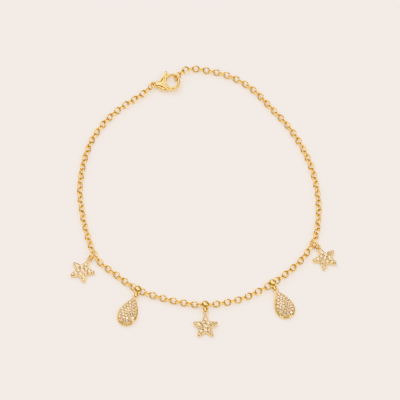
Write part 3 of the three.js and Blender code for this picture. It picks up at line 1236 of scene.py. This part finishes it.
@dataclass
class Star(Paved):
    """A flat-backed star with a thin raised edge, sixteen stones and beads between them."""

    tip: float = 6.1
    waist: float = 3.12
    waist_ease: float = 1.02
    tip_round: float = 0.75
    tip_arc: float = 1.2  # radians on each side of the tip
    tip_steps: int = 9
    side_span: Spot = (0.12, 0.93)  # shares of a side, from the tip's arc to the waist
    side_steps: int = 6
    thickness: float = 2.0
    bead_sink: float = 0.04
    back: tuple[Level, ...] = (
        Level(0.3, 0.1, 0.0),
        Level(0.3, 0.6, 0.0),
        Level(0.2, 1.0, 0.0),
        Level(0.06, 1.0, 0.06),
        Level(0.0, 1.0, 0.22),
    )
    front: tuple[Level, ...] = (  # with heights from the face
        Level(0.0, 1.0, -0.45),
        Level(0.03, 1.0, -0.32),
        Level(0.09, 1.0, -0.2),
        Level(0.12, 1.0, -0.24),
        Level(0.14, 1.0, -0.4),
        Level(0.15, 1.0, -0.52),
        Level(0.15, 0.75, -0.54),
        Level(0.15, 0.4, -0.54),
        Level(0.15, 0.1, -0.54),
    )
    middle_stone: Point = (0.0, 0.0, 1.02)
    stones: tuple[Five, ...] = (Five(2.06, 36.0, 0.93), Five(3.38, 0.0, 1.0), Five(4.9, 0.0, 0.5))
    grips: tuple[Five, ...] = (
        Five(1.56, 0.0, 0.24),
        Five(2.1, 0.0, 0.22),
        Five(2.72, 19.0, 0.2),
        Five(2.72, -19.0, 0.2),
        Five(4.3, 8.0, 0.16),
        Five(4.3, -8.0, 0.16),
        Five(5.52, 0.0, 0.34),
    )

    @property
    def reach(self) -> float:
        """The distance from its middle to its tip."""
        return self.tip

    @property
    def foot(self) -> float:
        """The distance from its middle to the line through its two lower tips."""
        return self.tip * math.cos(TURN / 10.0)

    @property
    def rim(self) -> float:
        """The height of its edge."""
        return self.thickness

    def outline(self) -> np.ndarray:
        """Draws the star: round tips as arcs, straight sides and slightly eased waists."""
        arms = circle(5)[:, None] + TURN / 4.0
        arc = arms + np.linspace(-self.tip_arc, self.tip_arc, self.tip_steps)[None]
        tips = (self.tip - self.tip_round) * polar(arms) + self.tip_round * polar(arc)
        hollow = self.waist * polar(arms + TURN / 10.0)
        following = np.roll(tips[:, :1], -1, axis=0)
        shares = np.linspace(*self.side_span, self.side_steps)[None, :, None]
        down = tips[:, -1:] + (hollow - tips[:, -1:]) * shares
        up = hollow + (following - hollow) * (1.0 - shares[:, ::-1])
        return np.concatenate([tips, down, hollow * self.waist_ease, up], axis=1).reshape(-1, 2)

    def body(self) -> Skin:
        """Builds the setting: flat back, round-edged wall, raised edge and sunk floor."""
        front = [level._replace(height=self.thickness + level.height) for level in self.front]
        return shell(self.outline(), [*self.back, *front])

    def layout(self) -> tuple[np.ndarray, np.ndarray]:
        """Places the stones and the beads.

        Returns:
            x, y and radius of the stones, and the same of the beads.
        """
        arms = circle(5) + TURN / 4.0
        stones, grips = (
            np.concatenate(
                [lifted(row.reach * polar(arms + math.radians(row.turn)), row.radius) for row in rows]
            )
            for rows in (self.stones, self.grips)
        )
        return np.vstack([self.middle_stone, stones]), grips

    def height(self, spots: np.ndarray) -> np.ndarray:
        """Gives the face's height."""
        return np.full(len(spots), self.thickness)

    def normals(self, spots: np.ndarray) -> np.ndarray:
        """Gives the face's outward direction."""
        return np.tile(UP, (len(spots), 1))


@dataclass
class Drop(Paved):
    """A domed teardrop with a smooth round rim, paved with stones."""

    length: float = 15.1
    width: float = 9.4
    wall: float = 1.3
    crown: float = 3.3
    swell: float = 0.8
    edge: float = 0.5
    steepest: float = 0.985  # the share past which the dome rises no more steeply
    seed: int = 7
    outline_steps: int = 120
    layout_steps: int = 240
    share_steps: int = 720
    slope_step: float = 0.15
    back: tuple[float, ...] = (0.1, 0.6, 0.97)  # shares of the outline
    sides: tuple[WallRow, ...] = (
        WallRow(0.0, 0.0, 0.12),
        WallRow(0.0, 0.75, 0.0),
        WallRow(0.04, 1.0, -0.02),
        WallRow(0.16, 1.0, 0.12),
        WallRow(0.32, 1.0, 0.16),
        WallRow(0.46, 1.0, 0.08),
    )
    floor: tuple[float, ...] = (0.98, 0.93, 0.85, 0.75, 0.6, 0.42, 0.22, 0.06)  # shares of the rim
    floor_sink: float = 0.28
    pitch: float = 1.56
    rows: tuple[int, int] = (-5, 9)  # of large stones, from the first number up to the second
    columns: tuple[int, int] = (-4, 5)
    row_shift: float = -0.3
    stone: float = 0.68
    fillers: tuple[Size, ...] = (Size(0.55, 0.06), Size(0.45, 0.05), Size(0.36, 0.05))
    grips: tuple[Size, ...] = (Size(0.17, -0.07), Size(0.13, -0.05))
    grip_plus: float = 0.03  # what the beads are larger than the room found for them

    @property
    def reach(self) -> float:
        """The distance from its middle to its tip."""
        return self.length - self.foot

    @property
    def foot(self) -> float:
        """The distance from its middle to its round end."""
        return self.width / 2.0

    @property
    def rim(self) -> float:
        """The height of its edge."""
        return self.wall

    def outline(self, steps: int) -> np.ndarray:
        """Draws the drop: its width is a sine times the half angle's sine to the swell."""
        widest = math.acos(-self.swell / (2.0 + self.swell))
        full = math.sin(widest) * math.sin(widest / 2.0) ** self.swell
        t = circle(steps)
        x = -self.foot * np.sin(t) * np.abs(np.sin(t / 2.0)) ** self.swell / full
        y = (np.cos(t) + 1.0) / 2.0 * self.length - self.foot
        return np.stack([x, y], -1)

    def share(self, spots: np.ndarray) -> np.ndarray:
        """Says how far from its middle to its outline points lie, 1 being on it."""
        return reach_share(spots, self.outline(self.share_steps))

    def height(self, spots: np.ndarray) -> np.ndarray:
        """Gives the face's height: the wall plus the rise of an ellipse over the share."""
        share = np.clip(self.share(spots), 0.0, self.steepest)
        return self.wall + (self.crown - self.wall) * np.sqrt(1.0 - share**2)

    def normals(self, spots: np.ndarray) -> np.ndarray:
        """Gives the face's outward direction from its slopes."""
        slopes = [
            (self.height(spots + way) - self.height(spots - way)) / (2.0 * self.slope_step)
            for way in self.slope_step * np.eye(2)
        ]
        return unit(np.stack([-slopes[0], -slopes[1], np.ones(len(spots))], -1))

    def body(self) -> Skin:
        """Builds the setting: flat back, wall, round rim and the dome sunk a little within it."""
        outline = self.outline(self.outline_steps)
        rows = [lifted(outline * share, 0.0) for share in self.back]
        for row in self.sides:
            rows.append(lifted(drawn_in(outline, row.draw), self.wall * row.share + row.plus))
        within = drawn_in(outline, self.edge)
        for share in self.floor:
            spots = within * share
            rows.append(lifted(spots, self.height(spots) - self.floor_sink))
        return Skin.over(np.stack(rows))

    def layout(self) -> tuple[np.ndarray, np.ndarray]:
        """Places the stones and the beads.

        Rows of large stones come first, then smaller stones and beads fill the room between.

        Returns:
            x, y and radius of the stones, and the same of the beads.
        """
        outline = self.outline(self.layout_steps)
        rows = np.arange(*self.rows)[:, None]
        columns = np.arange(*self.columns)[None] + 0.5 * (rows % 2)
        across = columns * self.pitch
        along = rows * self.pitch * math.sqrt(3.0) / 2.0 + 0.0 * columns + self.row_shift
        spots = np.stack([across, along], axis=-1).reshape(-1, 2)
        gap = clearance(spots, outline) - self.edge
        keep = (self.share(spots) < 1.0) & (gap >= self.stone)
        large = [(float(x), float(y), self.stone) for x, y in spots[keep]]
        stones = large + packed(outline, self.edge, large, self.fillers)
        grips = packed(outline, self.edge, stones, self.grips)
        return np.array(stones), np.array(grips) + [0.0, 0.0, self.grip_plus]


# ------------------------------------------------------------------ bails


@dataclass
class Bail:
    """A puffed barrel that the chain runs through, with a tapered strap bent down from it.

    Its own frame has the barrel's middle at the origin, the chain along X and the strap's end
    towards -Y.
    """

    radius: float = 2.1
    half: float = 1.66
    fall: float = 0.7  # how much slimmer the barrel is at its mouths
    fall_power: float = 2.4
    wall: float = 0.22
    lip: float = 0.12
    room: float = 0.04  # round the links
    link_half: float = 1.83
    link_reach: float = 2.05
    reach: float = 3.2  # to the middle of the strap's round end
    strap_end: float = 1.0  # the radius of that end
    strap_start: float = 1.78
    start_angle: float = 27.0
    strip: float = 0.34
    puff: float = 0.55
    widths: tuple[Spot, ...] = ((1.2, 1.22), (2.2, 1.12), (3.2, 0.92), (4.2, 0.72))  # reach, half
    barrel_steps: int = 17
    lip_steps: int = 7
    barrel_sides: int = 48
    end_steps: int = 19
    side_steps: int = 11
    strap_sides: int = 24

    def barrel(self) -> Skin:
        """Turns the barrel about the chain.

        Its outside is the radius less the fall times a power of the share of the half width; its
        inside clears the ellipse that the links fill; the two meet in round lips.

        Returns:
            The barrel.
        """
        across = np.linspace(-1.0, 1.0, self.barrel_steps)
        x = across * (self.half - self.lip)
        outer = self.radius - self.fall * np.abs(across) ** self.fall_power
        inner = self.link_half * np.sqrt(1.0 - (x / self.link_reach) ** 2) + self.room
        inner = np.minimum(inner, outer - self.wall)
        turn = np.linspace(0.0, math.pi, self.lip_steps)[1:-1]
        middle, deep = (outer[-1] + inner[-1]) / 2.0, (outer[-1] - inner[-1]) / 2.0
        lip_x = x[-1] + self.lip * np.sin(turn)
        lip_r = middle + deep * np.cos(turn)
        line_x = np.concatenate([x, lip_x, x[::-1], -lip_x[::-1]])
        line_r = np.concatenate([outer, lip_r, inner[::-1], lip_r[::-1]])
        upright = np.swapaxes(turned(line_r, line_x, self.barrel_sides), 0, 1)
        return Skin.over(upright[..., [2, 0, 1]], closed=True)

    def strap(self) -> Skin:
        """Bends the strap: from the barrel's wall to a round end and back.

        Across the strap its section is a flat oval whose middle stands out and whose edges fall
        back by the puff.

        Returns:
            The strap, its two ends within the barrel's wall.
        """
        turn = math.radians(self.start_angle)
        start = polar(turn) * self.strap_start
        slope = math.atan2(start[1] - self.strap_end, self.reach - start[0])
        angles = np.linspace(math.pi / 2.0 - slope, slope - math.pi / 2.0, self.end_steps)
        end = polar(angles) * self.strap_end + [self.reach, 0.0]
        run = np.linspace(0.0, 1.0, self.side_steps)[:-1, None]
        over = start + (end[0] - start) * run
        under = over[::-1] * [1.0, -1.0]
        line = np.concatenate([over, end, under])
        step = unit(np.gradient(line, axis=0))
        out = np.stack([-step[:, 1], step[:, 0]], -1)
        stations, halves = np.array(self.widths).T
        half = np.interp(line[:, 0], stations, halves)[:, None]
        v = circle(self.strap_sides)[None]
        flat = self.strip / 2.0 * (rounded(np.sin(v), SOFT_SQUARE) - 1.0)
        depth = flat - self.puff * half * np.cos(v) ** 2
        along = line[:, 0, None] + out[:, 0, None] * depth
        height = line[:, 1, None] + out[:, 1, None] * depth
        return Skin.over(np.stack([half * np.cos(v), -along, height], axis=-1))

    def skin(self, rise: float) -> Skin:
        """Joins the barrel and the strap, the strap's end higher than the barrel by the rise."""
        tilt = turn_about(RIGHT, -math.degrees(math.asin(rise / self.reach)))
        return Skin.joined([self.barrel(), self.strap()]).placed(Place(tilt))


@dataclass(frozen=True)
class Hanging:
    """A charm on a bail. Headings are degrees from +X, the tilt is how steeply the charm lies."""

    side: str
    form: Charm
    bail_heading: float
    charm_heading: float
    loop_past: float
    tilt: float = 5.0

    def build(self, shop: Workshop) -> None:
        """Makes the bail and its charm."""
        bail = Bail()
        charm = {Charm.STAR: Star, Charm.DROP: Drop}[self.form]()
        loop_z = charm.rim / 2.0
        loop_at = charm.reach + self.loop_past
        lean = math.radians(self.tilt)
        lift = charm.foot * math.sin(lean)
        loop_height = lift + loop_at * math.sin(lean) + loop_z * math.cos(lean)
        loop_from = bail.reach + bail.strap_end - bail.strip / 2.0

        stand = facing(self.bail_heading, *BAIL_SPOTS[self.side])
        seat = Place(shift=np.array([0.0, 0.0, bail.radius]))
        skin = bail.skin(loop_height - bail.radius).placed(stand.after(seat))
        shop.piece(f"{self.side}_bail_shell", skin, stands_for=(f"{self.side}_bail",))

        end = stand.put(np.array([0.0, -loop_from, 0.0]))
        swing = facing(self.charm_heading, end[0], end[1])
        lie = Place(turn_about(RIGHT, self.tilt), np.array([0.0, -loop_at * math.cos(lean), lift]))
        node = f"{self.side}_{self.form.value}"
        charm.build(shop, node, swing.after(lie), self.loop_past, loop_z)


@dataclass(frozen=True)
class CornerStar:
    """A star that lies flat on its back and hangs from a ring at a corner of the chain."""

    side: str
    heading: float
    loop_past: float = 0.85
    loop_z: float = 1.22

    def build(self, shop: Workshop) -> None:
        """Makes the star over the mount on its back."""
        mounts = {m["name"]: m for m in frame["record"]["mounts"]}
        middle = np.array(mounts[f"{self.side}_star_back"]["pos_m"]) / MM
        place = Place(turn_about(UP, self.heading - 90.0), middle)
        Star().build(shop, f"{self.side}_star", place, self.loop_past, self.loop_z)


# ------------------------------------------------------------------ clasp


class ClawEnd(NamedTuple):
    """One end of the claw."""

    angle: float  # degrees from +X
    width: float
    thickness: float


class Cheek(NamedTuple):
    """How a cheek's rim and face are rounded."""

    depth: float  # from the clasp's face to its rim
    edge: float
    dome: float


@dataclass
class Clasp:
    """The lobster clasp: claw, cheeks, keel, core, tail, eye and pin in one, and the lever.

    Its own frame has the middle of the claw's hole over the origin, and its middle height at 0.
    """

    hole_x: float = 2.7
    hole_y: float = 3.2
    root: ClawEnd = ClawEnd(205.0, 1.75, 3.2)
    tip: ClawEnd = ClawEnd(455.0, 1.25, 3.0)
    claw_square: float = 2.3
    thickness: float = 3.2
    slot: float = 2.2
    upper: Cheek = Cheek(0.55, 0.55, 0.6)
    lower: Cheek = Cheek(0.3, 0.4, 0.25)
    core_past: float = 0.1  # how far the core reaches into each cheek
    core_edge: float = 0.1
    tail_start: Point = (-5.2, -1.1, 0.05)
    tail_end: Point = (-8.25, -1.4, 0.0)
    tail_width: float = 3.1
    tail_height: Spot = (3.0, 2.7)  # at its start and at its end
    tail_close: float = 0.93  # how far its round end closes
    keel_width: float = 1.6
    keel_height: float = 2.3
    keel_z: float = -0.4
    keel_blunt: float = 0.4  # the lower, the blunter its ends
    oval: float = 2.2  # squareness of the tail's and the keel's sections
    eye: Spot = (-9.0, -1.5)
    eye_radius: float = 1.55
    eye_hole: float = 0.8
    eye_thickness: float = 1.6
    pivot: Spot = (-3.9, 1.3)
    head: tuple[Spot, ...] = ((0.12, 0.07), (0.32, 0.06), (0.42, 0.01), (0.42, -0.1), (0.4, -0.3))
    lever: float = 1.6
    gate_span: Spot = (98.5, 168.0)  # degrees from +X
    gate_out: float = 0.7  # from the hole's edge to the gate's middle line
    gate_width: float = 1.2
    gate_square: float = 2.8
    gate_full: float = 2.7  # its thickness between the claw's tip and the cheeks
    gate_step: Spot = (122.0, 142.0)  # degrees over which it thins to the lever's
    nose: tuple[Spot, ...] = ((0.85, 0.9), (0.96, 0.97))  # shares of width and thickness at its tip
    tab_edge: float = 0.3
    tab_dome: float = 0.06
    claw_steps: int = 49
    cap_steps: int = 7
    claw_sides: int = 28
    tail_steps: int = 17
    tail_sides: int = 24
    keel_steps: int = 33
    keel_sides: int = 20
    eye_steps: int = 40
    eye_sides: int = 16
    pin_sides: int = 20
    gate_steps: int = 25
    gate_sides: int = 20
    cheek: tuple[Spot, ...] = (
        (-1.8, -4.3),
        (-2.15, -3.3),
        (-2.7, -2.0),
        (-2.95, -0.6),
        (-2.95, 0.8),
        (-2.75, 2.1),
        (-2.75, 2.9),
        (-3.3, 3.35),
        (-4.1, 3.2),
        (-4.9, 2.4),
        (-5.5, 1.2),
        (-6.0, 0.1),
        (-6.5, -0.8),
        (-6.5, -1.7),
        (-5.8, -2.3),
        (-4.8, -2.8),
        (-3.6, -3.6),
        (-2.5, -4.35),
    )
    core: tuple[Spot, ...] = (
        (-1.9, -4.0),
        (-2.3, -2.6),
        (-2.95, -0.9),
        (-3.3, -0.25),
        (-4.6, -0.25),
        (-5.9, -0.3),
        (-6.4, -1.0),
        (-6.1, -1.95),
        (-4.95, -2.5),
        (-3.75, -3.3),
        (-2.6, -4.15),
    )
    edge: tuple[Spot, ...] = (
        (-8.6, -1.8),
        (-7.6, -2.2),
        (-6.6, -2.65),
        (-5.6, -3.15),
        (-4.6, -3.65),
        (-3.6, -4.0),
        (-2.5, -4.2),
        (-1.3, -4.15),
    )
    tab: tuple[Spot, ...] = (
        (-2.6, 2.6),
        (-2.35, 3.6),
        (-2.2, 4.8),
        (-2.3, 5.6),
        (-3.0, 6.0),
        (-3.75, 5.6),
        (-4.05, 4.4),
        (-4.5, 2.9),
        (-4.6, 1.2),
        (-3.9, 0.5),
        (-3.0, 1.0),
    )

    def claw(self) -> Skin:
        """Curls the claw round the hole: an oval section on an ellipse, tapering to a round tip."""
        t = np.linspace(0.0, 1.0, self.claw_steps)
        cap = np.sin(np.linspace(0.0, TURN / 4.0, self.cap_steps))[1:]
        nose = self.tip.width / 2.0 / (self.hole_y + self.tip.width / 2.0)
        angle = np.radians(self.root.angle + (self.tip.angle - self.root.angle) * t) - nose * t
        angle = np.concatenate([angle, angle[-1] + nose * cap])
        taper = np.concatenate([t, np.ones_like(cap)])
        last = 0.012  # keeps the last section open
        shrink = np.concatenate([np.ones_like(t), np.sqrt(np.clip(1.0 - cap**2, last, 1.0))])
        width = self.root.width + (self.tip.width - self.root.width) * taper
        height = (self.root.thickness + (self.tip.thickness - self.root.thickness) * taper) * shrink
        out = lifted(polar(angle), 0.0)
        path = out * (np.array([self.hole_x, self.hole_y, 0.0]) + width[:, None] / 2.0)
        return sweep(path, out, width * shrink, height, self.claw_square, self.claw_sides)

    def body(self) -> Skin:
        """Joins all that is one with the claw."""
        cheek = closed_spline(self.cheek)
        half, gap = self.thickness / 2.0, self.slot / 2.0
        reach = gap + self.core_past
        parts = [
            self.claw(),
            pillow(cheek, gap, half - self.upper.depth, self.upper.edge, self.upper.dome),
            pillow(cheek, self.lower.depth - half, -gap, self.lower.edge, self.lower.dome),
            self.keel(),
            pillow(closed_spline(self.core), -reach, reach, self.core_edge, 0.0),
            self.tail(),
            self.eyelet(),
            self.rivet(),
        ]
        return Skin.joined(parts)

    def tail(self) -> Skin:
        """Draws the tail from the core to the eye, falling in height to a round end."""
        t = np.linspace(0.0, 1.0, self.tail_steps)
        start, end = np.array(self.tail_start), np.array(self.tail_end)
        path = start + (end - start) * np.sin(t * math.pi / 2.0)[:, None]
        side = np.tile([0.0, 1.0, 0.0], (len(t), 1))
        round_off = np.sqrt(1.0 - self.tail_close * t**4)
        width = self.tail_width * round_off
        height = np.interp(t, (0.0, 1.0), self.tail_height) * round_off
        return sweep(path, side, width, height, self.oval, self.tail_sides)

    def keel(self) -> Skin:
        """Runs the round edge of the lower half, from the tail along the cheek into the claw."""
        t = np.linspace(0.0, 1.0, self.keel_steps)
        stations = np.linspace(0.0, 1.0, len(self.edge))
        x, y = np.array(self.edge).T
        spots = np.stack([np.interp(t, stations, x), np.interp(t, stations, y)], -1)
        path = lifted(spots, self.keel_z)
        path[1:-1] = (path[:-2] + 2.0 * path[1:-1] + path[2:]) / 4.0
        step = unit(np.gradient(path, axis=0))
        side = np.stack([-step[:, 1], step[:, 0], 0.0 * t], -1)
        ends = 0.02  # keeps the end sections open
        swell = np.sin(np.clip(t * (1.0 + ends), ends, 1.0 - ends) * math.pi) ** self.keel_blunt
        width, height = self.keel_width * swell, self.keel_height * swell
        return sweep(path, side, width, height, self.oval, self.keel_sides)

    def eyelet(self) -> Skin:
        """Turns the eye: a flat ring whose section is a rounded rectangle."""
        v = circle(self.eye_sides)
        middle, half = (self.eye_radius + self.eye_hole) / 2.0, (self.eye_radius - self.eye_hole) / 2.0
        reach = middle + half * rounded(np.cos(v), SOFT_SQUARE)
        height = self.eye_thickness / 2.0 * rounded(np.sin(v), SOFT_SQUARE)
        grid = np.swapaxes(turned(reach, height, self.eye_steps), 0, 1) + [*self.eye, 0.0]
        return Skin.over(grid, closed=True)

    def rivet(self) -> Skin:
        """Stands the pin through the cheeks, with a low round head on each face."""
        out, over = np.array(self.head).T
        rise = self.thickness / 2.0 + over
        radius, height = np.concatenate([out, out[::-1]]), np.concatenate([-rise, rise[::-1]])
        return Skin.over(turned(radius, height, self.pin_sides) + [*self.pivot, 0.0])

    def lever_skin(self) -> Skin:
        """Joins the gate that closes the claw, and the thumb tab with the boss round the pin."""
        degrees = np.linspace(*self.gate_span, self.gate_steps)
        out = lifted(polar(np.radians(degrees)), 0.0)
        path = out * (np.array([self.hole_x, self.hole_y, 0.0]) + self.gate_out)
        width = np.full(len(degrees), self.gate_width)
        height = np.interp(degrees, self.gate_step, (self.gate_full, self.lever))
        nose_width, nose_height = np.array(self.nose).T
        width[: len(self.nose)] *= nose_width
        height[: len(self.nose)] *= nose_height
        gate = sweep(path, out, width, height, self.gate_square, self.gate_sides)
        half = self.lever / 2.0
        tab = pillow(closed_spline(self.tab), -half, half, self.tab_edge, self.tab_dome)
        return Skin.joined([gate, tab])

    def build(self, shop: Workshop) -> None:
        """Makes the clasp about the lever's hinge."""
        hinge = next(j for j in frame["joints"] if j["name"] == "lever_hinge")
        shift = np.array(hinge["pos_m"]) / MM - np.array([*self.pivot, 0.0])
        place = Place(shift=shift)
        shop.piece("clasp_body_shell", self.body().placed(place), stands_for=("clasp_body",))
        skin = self.lever_skin().placed(place)
        shop.piece("clasp_lever_shell", skin, body=Body.LEVER, stands_for=("clasp_lever",))


# ------------------------------------------------------------------ studio


@dataclass
class Studio:
    """A pale surface, soft lights and the camera. Lengths are metres."""

    target: Point = (-0.0018, 0.0004, 0.0)
    elevation: float = 60.0
    distance: float = 2.0
    view_width: float = 0.191
    sensor: float = 36.0
    horizon: Colour = (0.44, 0.25, 0.09, 1.0)
    middle: Colour = (0.40, 0.30, 0.19, 1.0)
    zenith: Colour = (0.70, 0.63, 0.55, 1.0)
    heights: Point = (0.02, 0.4, 0.95)  # where those colours stand: sines of the angle upwards
    floor_half: float = 4.0

    def camera(self) -> None:
        """Stands the camera back from the target at its elevation."""
        data = bpy.data.cameras.new("camera")
        data.sensor_width = self.sensor
        data.lens = self.sensor * self.distance / self.view_width
        camera = bpy.data.objects.new("camera", data)
        rise = math.radians(self.elevation)
        x, y, z = self.target
        camera.location = (x, y - self.distance * math.cos(rise), z + self.distance * math.sin(rise))
        camera.rotation_euler = (math.radians(90.0 - self.elevation), 0.0, 0.0)
        bpy.context.scene.collection.objects.link(camera)
        bpy.context.scene.camera = camera

    def sky(self) -> None:
        """Shades the room: bright overhead, dark towards the horizon."""
        world = bpy.data.worlds.new("room")
        world.use_nodes = True
        tree = world.node_tree
        where = tree.nodes.new("ShaderNodeTexCoord").outputs["Generated"]
        split = tree.nodes.new("ShaderNodeSeparateXYZ")
        ramp = tree.nodes.new("ShaderNodeValToRGB")
        tree.links.new(where, split.inputs[0])
        tree.links.new(split.outputs["Z"], ramp.inputs["Fac"])
        stops = ramp.color_ramp.elements
        low, between, high = self.heights
        stops[0].position, stops[0].color = low, self.horizon
        stops[1].position, stops[1].color = high, self.zenith
        stops.new(between).color = self.middle
        tree.links.new(ramp.outputs["Color"], tree.nodes["Background"].inputs["Color"])
        bpy.context.scene.world = world

    def lamp(self, name: str, at: Point, size: float, power: float) -> None:
        """Hangs a square soft light that faces the target.

        Args:
            name: the light's name.
            at: where it hangs.
            size: the length of its side.
            power: its power in watts.
        """
        data = bpy.data.lights.new(name, "AREA")
        data.shape = "SQUARE"
        data.size = size
        data.energy = power
        lamp = bpy.data.objects.new(name, data)
        away = np.array(at) - np.array(self.target)
        lamp.location = at
        flat = math.hypot(away[0], away[1])
        lamp.rotation_euler = (math.atan2(flat, away[2]), 0.0, math.atan2(away[0], -away[1]))
        bpy.context.scene.collection.objects.link(lamp)

    def surface(self) -> None:
        """Lays the pale surface at z = 0."""
        mesh = bpy.data.meshes.new("surface")
        half = self.floor_half
        corners = [(-half, -half, 0.0), (half, -half, 0.0), (half, half, 0.0), (-half, half, 0.0)]
        mesh.from_pydata(corners, [], [(0, 1, 2, 3)])
        mesh.materials.append(PaleSurface().material())
        floor = bpy.data.objects.new("surface", mesh)
        bpy.context.scene.collection.objects.link(floor)

    def build(self) -> None:
        """Sets up the whole studio."""
        self.camera()
        self.sky()
        self.lamp("key", at=(-0.34, 0.47, 0.81), size=0.85, power=3.0)
        self.lamp("fill", at=(0.5, -0.3, 0.7), size=0.3, power=1.3)
        self.lamp("spark", at=(-0.1, -0.15, 0.95), size=0.22, power=1.5)
        self.surface()
        bpy.context.scene.view_settings.view_transform = "Khronos PBR Neutral"


# ------------------------------------------------------------------ necklace


def main() -> None:
    """Builds the studio and every piece of the necklace."""
    logging.basicConfig(level=logging.INFO, format="%(name)s %(message)s", stream=sys.stdout)
    Studio().build()
    # the setting gold's deep colour also carries the painted shade in recesses
    soft = PolishedGold("setting gold", light=(0.96, 0.79, 0.45, 1.0), deep=(0.84, 0.62, 0.26, 1.0))
    shop = Workshop(PolishedGold().material(), soft.material(), ClearStone().material())
    Chain().build(shop)
    rings = (  # node, length, width, wire, heading, lean, slit
        Ring("tail_ring", 3.9, 3.9, 0.64, 42.0, 14.0, slit=200.0),
        Ring("end_ring", 5.1, 5.1, 0.66, 48.0, 10.0, slit=250.0),
        Ring("left_star_ring", 4.5, 4.5, 0.76, 49.0, 12.0, slit=300.0),
        Ring("right_star_ring", 4.5, 4.5, 0.76, -28.0, 12.0, slit=240.0),
        Ring("left_corner_link", 3.9, 3.65, 0.75, -62.0, 70.0),
        Ring("right_corner_link", 3.9, 3.65, 0.75, 64.0, 70.0),
    )
    for ring in rings:
        ring.build(shop)
    charms = (  # side, form, heading of the bail and of the charm, how far its loop is past its tip
        Hanging("left", Charm.DROP, 253.0, 249.0, 0.5),
        Hanging("centre", Charm.STAR, 271.0, 270.0, 1.2),
        Hanging("right", Charm.DROP, 292.0, 294.0, 0.45),
        CornerStar("left", 62.0),
        CornerStar("right", 118.0),
    )
    for charm in charms:
        charm.build(shop)
    Clasp().build(shop)


if __name__ == "__main__":
    main()
